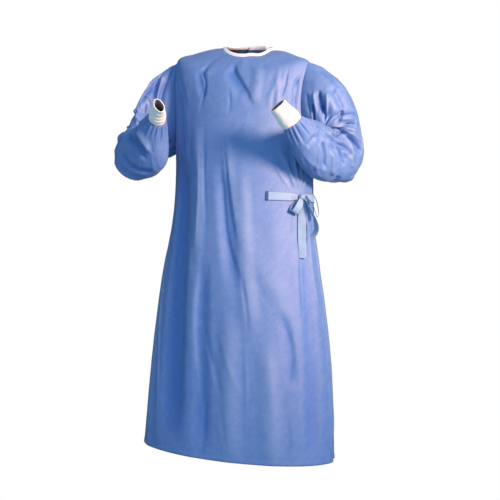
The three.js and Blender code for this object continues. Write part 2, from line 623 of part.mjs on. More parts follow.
const up = new THREE.Vector3(0, 0, 1);
const viewRight = new THREE.Vector3(Math.cos(radians(VIEW_TURN)), Math.sin(radians(VIEW_TURN)), 0);
const viewNear = new THREE.Vector3(Math.sin(radians(VIEW_TURN)), -Math.cos(radians(VIEW_TURN)), 0);
const knotNormal = bodyNormal(BELT_ROW, KNOT_ANGLE);
const knotAlong = up.clone().cross(knotNormal).normalize();
const knotMiddle = beltBase(KNOT_ANGLE, BELT_HEIGHT, KNOT_OUT);
const fromKnot = (rightward, upward, near) => knotMiddle.clone()
  .addScaledVector(viewRight, rightward).addScaledVector(up, upward).addScaledVector(viewNear, near);

function beltPlace(turn, width, wall) {
  const [top, bottom] = [1, -1].map((edge) =>
    beltBase(turn, BELT_HEIGHT + (edge * width) / 2, BELT_LIFT + wall / 2));
  return { point: top.clone().lerp(bottom, 0.5), across: top.sub(bottom), width };
}

function beltOnBody(from, to, count) {
  return steps(from, to, count).map((turn) => beltPlace(turn, BELT_WIDTH, BELT_WALL));
}

function beltFront() {
  const places = beltOnBody(BELT_FRONT_START, BELT_FRONT_END, 8);
  const end = fromKnot(-KNOT_HALF.right - KNOT_GAP, 0, 0);
  const start = places[places.length - 1].point;
  places.push({ point: start.clone().lerp(end, 0.5), across: up, width: NARROWING_WIDTH });
  places.push({ point: end, across: up, width: PINCHED_WIDTH });
  return strip(places, BELT_WALL);
}

function beltBack() {
  const places = beltOnBody(BELT_BACK_START, BELT_BACK_END, 12);
  const reach = KNOT_HALF.right + KNOT_GAP;
  const side = BELT_BACK_MEETS.along * reach;
  const end = moved(moved(knotMiddle, knotAlong, side), knotNormal, BELT_BACK_MEETS.out * reach);
  const start = places[places.length - 1].point;
  places.push({ point: start.clone().lerp(end, 0.5), across: up, width: NARROWING_WIDTH });
  places.push({ point: end, across: up, width: PINCHED_WIDTH });
  return strip(places, BELT_WALL);
}

function beltTack() {
  const end = BELT_FRONT_START - TACK_GAP_TURN;
  const turns = steps(end - TACK_TURN, end, 2);
  const width = BELT_WIDTH + TACK_STAND_OUT;
  return strip(turns.map((turn) => beltPlace(turn, width, TACK_WALL)), TACK_WALL);
}

function beltKnot() {
  const geometry = new THREE.SphereGeometry(1, 14, 10);
  const position = geometry.getAttribute('position');
  const points = [];
  const triangles = [];
  const known = new Map();
  const indexOf = (k) => {
    const raw = new THREE.Vector3().fromBufferAttribute(position, k);
    const key = raw.toArray().map((value) => value.toFixed(5)).join();
    if (!known.has(key)) {
      known.set(key, points.length);
      points.push(fromKnot(raw.x * KNOT_HALF.right, raw.y * KNOT_HALF.up, raw.z * KNOT_HALF.near));
    }
    return known.get(key);
  };
  const index = geometry.getIndex();
  for (let k = 0; k < index.count; k += 3) {
    const corners = [0, 1, 2].map((step) => indexOf(index.getX(k + step)));
    if (new Set(corners).size === 3) triangles.push(corners);
  }
  return solid(points, triangles);
}

// Ribbons of the bow, each from the knot. Those of the side loop and short end are placed by
// the right and near directions, the others along and out from the gown.
const LOOP_SIDE = [
  { right: 10.7, near: -3, up: 4, width: 14 },
  { right: 22, near: -4, up: 9, width: 18 },
  { right: 34, near: -5, up: 4, width: 18 },
  { right: 43, near: -5, up: -14, width: 18 },
  { right: 48, near: -5, up: -38, width: 18 },
  { right: 48.5, near: -5, up: -50, width: 18 },
  { right: 45, near: -5, up: -54, width: 18 },
  { right: 41, near: -5, up: -47, width: 18 },
  { right: 35, near: -5, up: -28, width: 18 },
  { right: 25, near: -4, up: -9, width: 18 },
  { right: 11.3, near: -3, up: -2.5, width: 14 },
];
const TAIL_SHORT = [
  { right: 8.2, near: 4.6, up: -6.9, width: 12 },
  { right: 17, near: 12, up: -22, width: 16 },
  { right: 29, near: 17, up: -45, width: 20 },
  { right: 40, near: 17, up: -66, width: 22 },
  { right: 44, near: 15, up: -84, width: 22 },
  { right: 40, near: 13, up: -100, width: 22 },
  { right: 31, near: 12, up: -113, width: 22 },
];
const LOOP_FRONT = [
  { along: -7, out: 7.5, up: -7, width: 14 },
  { along: -12, out: 12, up: -18, width: 21 },
  { along: -18, out: 14, up: -30, width: 24 },
  { along: -24, out: 10, up: -41, width: 24 },
  { along: -27, out: 3, up: -45, width: 24 },
  { along: -26, out: -4, up: -41, width: 24 },
  { along: -20, out: -6.5, up: -30, width: 24 },
  { along: -12, out: -6, up: -19, width: 18 },
  { along: -5, out: -3, up: -11, width: 12 },
];
const TAIL_LONG = [
  { along: 1, out: 2, up: -10.2, width: 11 },
  { along: 1, out: 3, up: -24, width: 19 },
  { along: 1, out: 2.5, up: -45, width: 24 },
  { along: 0, out: 3.5, up: -78, width: 24 },
  { along: 0, out: 6.5, up: -112, width: 24 },
  { along: 0, out: 10, up: -146, width: 24 },
  { along: 0, out: 13, up: -172, width: 24 },
];

const bowPoint = (row) => ('along' in row
  ? moved(moved(moved(knotMiddle, knotAlong, row.along), knotNormal, row.out), up, row.up)
  : fromKnot(row.right, row.up, row.near));

function bowRibbon(table, acrossAt) {
  return strip(table.map((row, i) => ({
    point: bowPoint(row),
    across: acrossAt(i / (table.length - 1)),
    width: row.width,
  })), BELT_WALL);
}

const mix = (a, b, t) => a.clone().multiplyScalar(1 - t).addScaledVector(b, t);
const loopFrontAcross = mix(knotAlong, up, -FRONT_LEAN);
const tailLongAcross = mix(knotAlong, knotNormal, FRONT_LEAN);
const tailShortAcross = (t) => mix(viewNear, viewRight, SHORT_TAIL_TURN * t);

const sheets = [
  ['body_front', clothWall(front.outer, front.inner), BLUE],
  ['body_back_left', clothWall(under.outer, under.inner), BLUE],
  ['body_back_right', clothWall(over.outer, over.inner), BLUE],
  ['sleeve_left', left.geometry, BLUE],
  ['sleeve_right', right.geometry, BLUE],
  ['cuff_left', cuff('left'), WHITE_KNIT],
  ['cuff_right', cuff('right'), WHITE_KNIT],
  ['neck_binding', neckBinding(), WHITE_TAPE],
  ['neck_patch', neckPatch(), WHITE_TAPE],
  ['belt_front', beltFront(), PALE_BLUE],
  ['belt_tack', beltTack(), BLUE],
  ['belt_back', beltBack(), PALE_BLUE],
  ['belt_knot', beltKnot(), PALE_BLUE],
  ['bow_loop_front', bowRibbon(LOOP_FRONT, () => loopFrontAcross), PALE_BLUE],
  ['bow_loop_side', bowRibbon(LOOP_SIDE, () => viewNear), PALE_BLUE],
  ['belt_tail_long', bowRibbon(TAIL_LONG, () => tailLongAcross), PALE_BLUE],
  ['belt_tail_short', bowRibbon(TAIL_SHORT, tailShortAcross), PALE_BLUE],
];

const gown = new THREE.Group();
for (const [name, geometry, material] of sheets) {
  const mesh = new THREE.Mesh(geometry, material);
  mesh.name = name;
  gown.add(mesh);
}

export default gown;
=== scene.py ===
import json
import math

import bpy
import numpy as np
from mathutils import Matrix, Vector

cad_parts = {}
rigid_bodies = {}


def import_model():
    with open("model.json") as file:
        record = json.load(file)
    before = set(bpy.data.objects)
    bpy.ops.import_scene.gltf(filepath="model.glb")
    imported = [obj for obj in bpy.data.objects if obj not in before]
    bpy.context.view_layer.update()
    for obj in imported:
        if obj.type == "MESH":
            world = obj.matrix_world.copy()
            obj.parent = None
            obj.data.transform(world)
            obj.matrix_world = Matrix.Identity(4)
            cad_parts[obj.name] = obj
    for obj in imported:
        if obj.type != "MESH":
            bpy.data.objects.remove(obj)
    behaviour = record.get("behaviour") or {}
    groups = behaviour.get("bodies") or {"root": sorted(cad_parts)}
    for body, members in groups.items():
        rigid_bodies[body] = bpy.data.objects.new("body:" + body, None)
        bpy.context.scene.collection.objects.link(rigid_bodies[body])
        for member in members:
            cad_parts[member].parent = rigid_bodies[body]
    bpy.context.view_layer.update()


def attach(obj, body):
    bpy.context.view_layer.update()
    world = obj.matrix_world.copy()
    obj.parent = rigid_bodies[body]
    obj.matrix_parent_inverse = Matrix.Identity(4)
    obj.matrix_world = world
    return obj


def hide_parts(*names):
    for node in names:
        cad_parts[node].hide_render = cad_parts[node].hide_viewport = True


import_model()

# A wrap-over surgical gown of blue non-woven in its worn form, with its arms bent forward.
# The tables below are in millimetres, as the part's source has them. Every mesh is in metres.
MM = 0.001
for solid in bpy.data.objects:
    solid.select_set(False)

# Camera, as fitted to the photo: its turn towards the wearer's left, roll, distance and lens
VIEW_TURN = math.radians(26)
VIEW_ROLL = math.radians(2)
VIEW_DISTANCE = 3.0
VIEW_DROP = 0.5535
VIEW_ASIDE = 0.0164
LENS = 72.6
SENSOR = 36
SHIFT = (-0.001, -0.03)

VIEW_RIGHT = np.array([math.cos(VIEW_TURN), math.sin(VIEW_TURN), 0.0])
VIEW_NEAR = np.array([math.sin(VIEW_TURN), -math.cos(VIEW_TURN), 0.0])
UP = np.array([0.0, 0.0, 1.0])
VIEW_AXES = np.array([VIEW_RIGHT, VIEW_NEAR, UP])

# Light: a warm key from the right and near, a weak rim from behind, and bluish surroundings
# that are stronger from one side. Places are to the right, near and up as the camera sees them.
KEY = {"place": (1.75, 2.25, 0.5), "size": 0.7, "power": 16.5, "colour": (1.0, 0.56, 0.33),
       "target": (0.0, -0.12, -0.36), "spread": 44}
RIM = {"place": (-2.4, -0.6, -0.5), "size": 1.2, "power": 1.5, "colour": (1.0, 0.7, 0.6),
       "target": (0.0, 0.0, -0.5), "spread": 180}
WORLD_COLOUR = (0.5, 0.8, 1.0)
WORLD_STRENGTH = 1.18
WORLD_GLOSS = 0.03
WORLD_SIDE = (0.6, 0.7, 0.5)
WORLD_EVEN = 0.8
WORLD_ONE_SIDED = 0.45

# Cloth: walls, what seams and hems do to it, and how much of the folds and creases it takes
CLOTH = 0.9
RIBBON = 1.1
SEAM_DIP = 0.4
SEAM_REACH = 4.0
SEAM_ALLOWANCE = 6.0
SEAM_TUCK = 2.0
FLAP_TUCK = 6.5
TUCK_START = 14
TUCK_RUN = 12
LAP_DIP = 4.6
LAP_RUN = 6
LAP_ROWS = 2
HEM_FOLD = 14.0
HEM_STAND = 0.7
HEM_RAMP = 2.5
BOND_DEPTH = 1.0
BOND_WIDTH = 2.0
PANEL_STEP = 5.0
BODY_CREASE_DEPTH = 1.0
SLEEVE_CREASE_DEPTH = 1.45
FOLD_SHARE = 0.8
BODY_CREASE_END = 0.42
SLEEVE_CREASE_END = 0.22
# Fold lift, in millimetres, at which the painted shade in the valleys and the painted light on the ridges
# are full
FULL_FOLD_SHADE_LIFT = 9.0
FULL_TURN = 360.0

# Unevenness between the creases: lift, slant, cells round the piece, size of a cell along it
# and seed
BODY_DRIFT = (0.9, 34, 200, 3)
BODY_CRUMPLE = [(1.1, 1 / 30, 26, 170, 5), (0.6, -1 / 14, 46, 60, 7)]
SLEEVE_CRUMPLE = [(3.2, 14, 11, 1.3, 21), (1.8, -22, 17, 0.7, 23)]
CREST_LEVEL = 0.35
NOISE_ROWS = 64

# Belt, knot and bow
BELT_HEIGHT = -443
BELT_WIDTH = 24.5
BELT_LIFT = 0.9
BELT_POINTS = 60
BELT_FRONT_TURNS = (37, 58)
BELT_BACK_TURNS = (112, 79)
BELT_FLAT_TURNS = (25, 125)
BELT_FLAT_FADE = 10
BELT_FLAT_HALF = 34
TACK_TURNS = (35.05, 36.85)
TACK_STAND_OUT = 2
TACK_POINTS = 9
KNOT_TURN = 68
KNOT_OUT = 12.2
KNOT_HALF = (11, 9.5, 11)
KNOT_REACH = KNOT_HALF[0] + 0.45
KNOT_CORE = 0.86
KNOT_BAND = 0.15
KNOT_WINDING = 0.05
KNOT_ROWS, KNOT_COLUMNS = 65, 96
BELT_BACK_MEETS = (0.8, -0.62)
NARROWING_WIDTH = 20
PINCHED_WIDTH = 15
NARROWING_POINTS = 12
PINCH_LIFT = 0.7
PINCH_START = 0.72
PINCH_RUN = 0.25
PINCH_PLEATS = 9
FRONT_LEAN = 0.36
SHORT_TAIL_TURN = 0.55
STRIP_STEPS = 10
STRIP_ROUNDING = 12
RIBBON_POINTS = 14

# Neck binding with its stitches, and the patch between the two backs
BINDING_HEIGHT = 11
BINDING_WALL = 3
BINDING_GAP = 0.9
BINDING_LEAN = 0.45
BINDING_WAVE = 0.25
BINDING_NOISE = (65, 1, 41)
BINDING_COLUMNS, BINDING_POINTS = 261, 28
BINDING_ROUNDING = 0.6
STITCH_LENGTH = 3.2
STITCH_PUFF = 0.08
STITCH_PLACE = -0.3
STITCH_WIDTH = 0.7
STITCH_DIP = 0.45
PATCH_ROWS = (0.25, 0.65)
PATCH_TURNS = (170, 190)
PATCH_DEPTH = 2.2
PATCH_WALL = 1.1
PATCH_POINTS = (12, 20)

# Threads, bonded points, loops and stitches in the materials, in metres, with scales of noise
THREAD_STRETCH = 0.16
CLOUD_SCALE = 38.0
FUZZ_SCALE = 900.0
CLOTH_THREADS, CLOTH_POINTS = 620.0, 0.0021
TAPE_THREADS, TAPE_POINTS = 700.0, 0.0014
KNIT_ROW, KNIT_LOOP = 0.0016, 0.0013
TAPE_STITCHES, TAPE_STITCH_HALF = 0.0033, 0.0004
CLOTH_BUMP, KNIT_BUMP = 0.0004, 0.0005
TAPE_DARK, TAPE_PALE = (0.5, 0.53, 0.6), (0.66, 0.68, 0.74)

# Rows of the body's rings that its edges refer to
SHOULDER_ROW, ARMPIT_ROW, BELT_ROW, HEM_ROW = 3, 7, 8, 13
FRONT_SCOOP, BACK_SCOOP, SCOOP_POWER = 20, 18, 0.6

# Edges of the backs as angles round the body: row, under back, over back
BACK_EDGES = np.array([
    (0, 205, 195),
    (3, 207, 206),
    (7, 212, 236),
    (8, 214, 254),
    (13, 216, 257),
], float)

# Rings of the body from the neck to the hem: half width, shift, slope, then y and z at the
# sides, at the middle of the front and at the middle of the back
BODY_RINGS = np.array([
    (88, 0, -0.085, 0, -2, -77, -38, 64, 10),
    (122, -4, -0.075, -8, -8, -89, -57, 73, -8),
    (167, -10, -0.066, -16, -22, -103, -78, 85, -35),
    (212, -16, -0.058, -24, -40, -119, -102, 98, -70),
    (219, -15, -0.045, -26, -98, -134, -140, 108, -118),
    (219, -11, -0.03, -25, -166, -144, -188, 114, -178),
    (218, -7, -0.015, -22, -234, -150, -242, 115, -238),
    (219, -4, 0, -20, -302, -154, -302, 112, -302),
    (219, 1, 0, -24, -443, -157, -443, 105, -443),
    (234, 4, 0, -26, -600, -172, -600, 116, -600),
    (257, 8, 0, -28, -745, -186, -745, 128, -745),
    (277, 12, 0, -30, -893, -196, -893, 138, -893),
    (291, 13, 0, -30, -1038, -202, -1038, 145, -1038),
    (301, 13, 0, -30, -1184, -207, -1184, 150, -1184),
], float)

# Folds of the body, as the solids have them: angle and height of the start and of the end,
# width to each side, and lift
BODY_FOLDS = [
    (-30, -55, -18, -165, 24, -6),
    (-4, -60, 16, -165, 28, -6),
    (27, -60, 24, -190, 30, 5),
    (66, -95, 60, -200, 22, -6),
    (45, -100, 44, -210, 20, 5),
    (-52, -120, -40, -330, 34, -7),
    (-26, -220, -18, -650, 36, 6),
    (-1, -360, 12, -730, 34, -6),
    (14, -330, 24, -860, 38, 7),
    (-44, -300, -27, -1215, 62, -17),
    (-66, -520, -52, -1215, 40, 10),
    (-13, -600, -4, -1215, 36, -9),
    (9, -760, 12, -1215, 38, 7),
    (46, -760, 50, -980, 30, -7),
    (33, -840, 37, -1215, 40, 9),
    (70, -560, 64, -1215, 46, -10),
    (64, -425, 45, -300, 15, 6),
    (67, -425, 57, -290, 14, 7),
    (70, -425, 68, -300, 13, 7),
    (73, -425, 80, -310, 14, 6),
    (98, -470, 92, -1215, 44, 9),
    (122, -480, 120, -1215, 52, -11),
    (146, -330, 143, -1215, 46, 9),
    (172, -240, 168, -1215, 54, -10),
    (196, -300, 192, -1215, 48, 9),
    (216, -220, 214, -1215, 50, -10),
    (238, -420, 236, -1215, 44, 9),
    (262, -480, 258, -1215, 44, -8),
    (150, -90, 158, -300, 30, -6),
    (214, -80, 222, -220, 30, 5),
]
FOLD_MM_PER_DEGREE = 4.3
FOLD_END = 0.22
PLAIN_NECK_ROWS = 0.8

# Creases of the body beside the solids' folds: a path of pairs of an angle and a height, the
# widths towards larger and smaller angles, the lift, and how crisp it is
BODY_CREASES = [
    # From the neck and the shoulders
    ([(-40, -24), (-30, -62), (-19, -112), (-20, -165), (-24, -215)], (15, 7), -5, 0.7),
    ([(-9, -50), (4, -82), (14, -125), (21, -168), (26, -210)], (11, 30), -5.5, 0.4),
    ([(-66, -50), (-54, -90), (-42, -150), (-38, -215)], (18, 18), -3, 0.3),
    ([(-78, -55), (-62, -90), (-54, -150), (-52, -200)], (12, 16), -3, 0.5),
    # Chest
    ([(80, -70), (66, -108), (60, -145), (66, -190)], (9, 12), -4, 0.5),
    ([(54, -62), (53, -95), (51, -132), (44, -180)], (9, 14), -3, 0.4),
    ([(46, -48), (44, -100), (38, -165), (36, -220)], (16, 20), 3, 0.3),
    ([(2, -120), (5, -170), (4, -225)], (9, 10), -2, 0.4),
    ([(-46, -180), (-42, -260), (-33, -350)], (16, 20), 3, 0.3),
    # Waist and skirt
    ([(-17, -225), (-17, -320), (-16, -430), (-11, -560)], (9, 14), -2.2, 0.5),
    ([(-23, -250), (-22, -380), (-20, -540), (-18, -640)], (8, 12), 2.2, 0.6),
    ([(-3, -250), (-1, -400), (5, -560), (17, -690), (20, -760)], (14, 36), -4.4, 0.4),
    ([(2, -240), (4, -330), (9, -470), (18, -620)], (30, 9), 4, 0.3),
    ([(-31, -480), (-30, -680), (-26, -920), (-23, -1184)], (30, 36), -6, 0.1),
    ([(-16, -520), (-16, -660), (-16, -800), (-12, -930), (-6, -1110)], (12, 36), 3.4, 0.5),
    ([(18, -470), (22, -560), (31, -650), (45, -745), (50, -870), (50, -1040)], (60, 40), 3.2, 0.1),
    ([(18, -630), (19, -700), (21, -760), (22, -850)], (7, 11), -3, 0.6),
    ([(20, -830), (20, -900), (21, -1010), (20, -1080)], (6, 7), 2, 0.6),
    ([(40, -730), (47, -800), (51, -870), (48, -940), (40, -1040)], (14, 22), -2.6, 0.4),
    ([(-12, -760), (-6, -850), (2, -950), (10, -1080)], (18, 10), -1.8, 0.5),
    ([(2, -800), (10, -920), (22, -1040)], (10, 18), 1.5, 0.5),
    ([(33, -820), (36, -960), (40, -1184)], (20, 22), 1.2, 0.2),
    # Hem of the front
    ([(-4, -990), (-4, -1080), (-5, -1184)], (10, 12), -2, 0.4),
    ([(4, -1000), (8, -1090), (11, -1184)], (10, 10), -1.8, 0.4),
    ([(46, -1030), (47, -1110), (46, -1184)], (12, 14), -1.8, 0.3),
    # Sides
    ([(66, -590), (64, -680), (62, -790)], (10, 14), -3, 0.4),
    ([(82, -500), (80, -640), (83, -780)], (14, 14), 3, 0.3),
    ([(-84, -420), (-78, -640), (-72, -900), (-66, -1120)], (16, 20), -4, 0.3),
    ([(-62, -600), (-54, -800), (-47, -980), (-42, -1170)], (12, 16), 4.5, 0.4),
    ([(-80, -700), (-74, -900), (-70, -1150)], (9, 12), 3, 0.4),
    # Gathers above and below the knot
    ([(62, -431), (50, -395), (40, -340)], (5, 6), 3, 0.6),
    ([(65, -428), (57, -380), (51, -300)], (5, 5), 3.6, 0.6),
    ([(68, -428), (63, -372), (61, -300)], (5, 5), 3.6, 0.6),
    ([(71, -428), (71, -370), (73, -290)], (5, 5), 3.6, 0.6),
    ([(74, -428), (80, -372), (86, -310)], (5, 6), 3, 0.6),
    ([(64, -458), (60, -500), (58, -560)], (5, 7), 2.6, 0.5),
    ([(71, -458), (72, -500), (75, -570)], (5, 7), 2.6, 0.5),
    # Back, from the shoulders and the neck
    ([(110, -60), (128, -110), (140, -190)], (10, 16), -4, 0.5),
    ([(250, -60), (236, -120), (228, -200)], (10, 16), -4, 0.5),
    ([(160, -15), (158, -70), (150, -130)], (9, 14), -3, 0.5),
    ([(200, -15), (205, -70), (212, -140)], (9, 14), -3, 0.5),
    # Back, from the belt
    ([(122, -430), (128, -370), (132, -290)], (7, 9), 3.5, 0.5),
    ([(114, -430), (112, -360), (104, -280)], (7, 9), 3.5, 0.5),
    ([(118, -460), (126, -560), (130, -700)], (8, 12), -3.5, 0.5),
    # Skirt of the back
    ([(152, -420), (150, -640), (154, -900)], (7, 14), 3.5, 0.6),
    ([(184, -360), (180, -600), (182, -860)], (8, 14), -3.5, 0.6),
    ([(206, -420), (203, -700), (206, -1050)], (7, 12), 3.5, 0.6),
    ([(228, -300), (226, -520), (230, -760)], (9, 14), -3.5, 0.5),
    ([(250, -540), (247, -800), (250, -1150)], (7, 12), 3.5, 0.6),
    # Hem of the back
    ([(164, -900), (162, -1050), (164, -1184)], (9, 12), 3, 0.5),
    ([(136, -860), (133, -1020), (136, -1184)], (9, 12), -3.5, 0.5),
    ([(110, -820), (106, -1000), (108, -1184)], (8, 12), 3.2, 0.5),
]

# The neckline sags to the left of its middle, about an angle and over a number of rings
NECK_SAG_TURN = 45
NECK_SAG_WIDTH = 27
NECK_SAG_DEPTH = 7
NECK_SAG_ROWS = 1.3

# Sections of each sleeve from the armhole to the wrist: the middle, and the reach from it to
# the outer side of the arm and to the front of the arm
SLEEVE_SECTIONS = {
    "left": np.array([
        (196, -23, -178, 0, -2, 125, 2, -57, 0),
        (228, -18, -185, 7, 3, 117, 6, -66, 0),
        (255, -9, -206, 28, 8, 102, 10, -74, 8),
        (272, -1, -229, 39, 12, 84, 12, -76, 18),
        (287, 6, -260, 48, 12, 58, 4, -72, 34),
        (290, 10, -290, 48, 6, 30, -28, -62, 44),
        (283, 0, -312, 46, -3, 22, -30, -48, 66),
        (269, -34, -320, 46, -6, 20, -18, -22, 74),
        (257, -76, -314, 46, -6, 18, -8, 8, 70),
        (248, -124, -294, 44, -5, 16, -5, 14, 62),
        (243, -171, -274, 37, -4, 12, -3, 12, 42),
        (238, -218, -250, 27, -6, 13.6, -3, 21, 15.5),
    ], float),
    "right": np.array([
        (-216, -23, -170, 0, -2, 132, -2, -57, 0),
        (-243, -27, -180, -15, -7, 124, -12, -64, -2),
        (-259, -43, -196, -27, -14, 112, -14, -66, 0),
        (-268, -60, -222, -33, -22, 88, -10, -68, 14),
        (-277, -84, -256, -38, -30, 58, 4, -64, 34),
        (-287, -118, -292, -46, -34, 34, 38, -38, 38),
        (-293, -140, -313, -44, -36, 34, 48, -18, 50),
        (-277, -172, -326, -44, -38, 38, 36, 10, 62),
        (-238, -198, -326, -46, -34, 36, 12, 22, 60),
        (-196, -229, -304, -42, -29, 34, 0, 20, 54),
        (-166, -264, -267, -31, -18, 21, 4, 19, 36),
        (-141, -291, -241, -21.6, -8.9, 8.8, -1.1, 13.5, 19.8),
    ], float),
}
ARMHOLE_FADE = 2.2
LAST_SECTION = 11
SLEEVE_END_FADE = 1.5
SLEEVE_ROWS, SLEEVE_COLUMNS = 182, 180

# Folds of each sleeve, as the solids have them: angle and section of the start and of the
# end, width to each side, and lift
SLEEVE_FOLDS = {
    "left": [
        (86, 1.2, 96, 3.9, 15, -7),
        (66, 1.4, 78, 3.9, 15, 7),
        (48, 1.8, 62, 4.1, 15, -7),
        (74, 4.6, 6, 4.3, 15, -8),
        (74, 5.1, 0, 4.9, 15, 8),
        (74, 5.6, -30, 5.7, 15, -8),
        (76, 6.2, -40, 6.3, 16, 8),
        (78, 6.8, -40, 7.0, 16, -8),
        (82, 7.4, 10, 8.4, 20, 7),
        (60, 9.0, -30, 9.4, 18, -6),
        (104, 5.0, 170, 5.2, 18, -7),
        (104, 6.2, 170, 6.4, 18, 7),
        (-60, 1.6, -75, 4.2, 22, -6),
    ],
    "right": [
        (60, 0.6, 40, 3.4, 20, -8),
        (82, 0.9, 64, 3.8, 18, 7),
        (104, 1.0, 96, 3.8, 18, -8),
        (70, 4.4, -6, 4.2, 16, 7),
        (72, 5.0, -10, 5.2, 16, -8),
        (74, 5.7, -20, 6.0, 16, 8),
        (76, 6.4, -30, 6.8, 18, -9),
        (84, 7.2, 0, 8.0, 20, 8),
        (70, 8.9, -40, 9.2, 18, -6),
        (106, 5.6, 176, 6.0, 20, -7),
        (-60, 1.6, -75, 4.2, 22, -6),
    ],
}
SLEEVE_MM_PER_DEGREE = 1.2
SLEEVE_MM_PER_SECTION = 40

# Creases of the sleeves beside the solids' folds, as the body's are, with sections for heights
SHARED_CREASES = [
    ([(150, 0.7), (150, 1.8), (142, 3.0)], (9, 15), -7, 0.4),
    ([(178, 0.7), (176, 1.9), (170, 3.2)], (9, 16), 6, 0.4),
    ([(112, 5.5), (150, 5.7), (184, 5.8)], (8, 14), 6, 0.5),
]
LEFT_CREASES = [
    # Crown and upper arm
    ([(70, 0.5), (88, 0.7), (106, 0.95)], (5, 10), -5, 0.7),
    ([(68, 1.0), (84, 1.25), (98, 1.6)], (7, 7), 5, 0.5),
    ([(86, 1.0), (97, 1.2), (108, 1.4), (120, 1.6)], (5, 10), -12, 0.5),
    ([(62, 1.3), (79, 1.77), (92, 2.3)], (6, 12), -8, 0.6),
    ([(60, 1.9), (80, 2.35), (94, 2.8)], (7, 12), 6, 0.5),
    ([(74, 1.9), (90, 2.5), (103, 3.1)], (5, 12), -7, 0.6),
    # Elbow
    ([(114, 3.2), (93, 3.6), (74, 4.0), (57, 3.9)], (6, 14), -12, 0.6),
    ([(60, 3.8), (55, 4.3), (56, 4.9)], (5, 10), -8, 0.6),
    ([(88, 4.9), (66, 4.6), (48, 4.5), (28, 4.4), (8, 4.3)], (8, 14), 8, 0.4),
    ([(82, 6.8), (56, 6.2), (46, 5.4), (37, 4.87), (20, 4.66), (2, 4.55)], (5, 12), -11, 0.6),
    ([(24, 8.4), (36, 6.4), (33, 5.6), (16, 5.1)], (5, 12), -8, 0.6),
    ([(38, 5.4), (20, 5.3), (0, 5.15), (-20, 5.1)], (7, 12), 5, 0.5),
    ([(24, 5.7), (5, 5.55), (-12, 5.5), (-34, 5.4)], (5, 14), -8, 0.7),
    ([(4, 4.3), (-14, 4.6), (-22, 4.9), (-27, 5.4)], (6, 12), -6, 0.5),
    # Forearm
    ([(16, 8.7), (12, 7.8), (8, 6.6)], (6, 12), -6, 0.6),
    ([(26, 9.4), (8, 9.5), (-14, 9.0)], (6, 10), -5, 0.5),
    ([(20, 9.0), (6, 8.7), (-12, 8.3)], (6, 10), 4, 0.5),
    ([(15, 9.1), (1, 8.3), (-14, 7.6)], (6, 12), -5, 0.5),
    ([(16, 7.2), (4, 6.7), (-24, 6.45)], (6, 12), -6, 0.5),
    ([(-8, 9.1), (-32, 8.55), (-64, 8.15)], (8, 8), -7, 0.4),
    ([(-14, 8.2), (-40, 7.8), (-70, 7.5)], (8, 8), 6, 0.5),
    ([(6, 7.6), (-15, 7.15), (-42, 7.0)], (8, 14), -7, 0.4),
    ([(0, 6.8), (-22, 6.5), (-48, 6.4)], (7, 14), 5, 0.5),
    ([(-18, 9.25), (-50, 8.85), (-84, 8.4)], (4, 8), 4.5, 0.8),
    ([(-64, 9.9), (-41, 9.9), (-8, 9.7)], (7, 12), -5, 0.5),
    # Underside
    ([(-60, 7.2), (-90, 7.0), (-124, 7.1)], (9, 16), -6, 0.4),
    ([(-66, 6.2), (-96, 6.1), (-130, 6.2)], (8, 15), 5, 0.4),
    # Inner side
    ([(116, 4.5), (150, 4.8), (176, 4.9)], (8, 15), -8, 0.5),
    ([(106, 6.5), (150, 6.8), (190, 6.9)], (8, 15), -8, 0.5),
    ([(100, 7.8), (140, 8.1), (184, 8.2)], (8, 15), -6, 0.5),
    # Back of the arm
    ([(-76, 0.7), (-84, 1.9), (-96, 3.1)], (8, 18), -6, 0.5),
    ([(-112, 0.7), (-122, 1.8), (-132, 3.0)], (8, 18), -6, 0.5),
    ([(-52, 3.7), (-82, 3.9), (-118, 3.8)], (8, 15), -7, 0.5),
    ([(-46, 4.5), (-82, 4.8), (-120, 4.8)], (7, 14), 6, 0.5),
    ([(-48, 5.4), (-88, 5.7), (-126, 5.6)], (8, 15), -7, 0.5),
    # Shoulder
    ([(10, 0.8), (24, 1.6), (34, 2.6)], (10, 21), -3, 0.4),
]
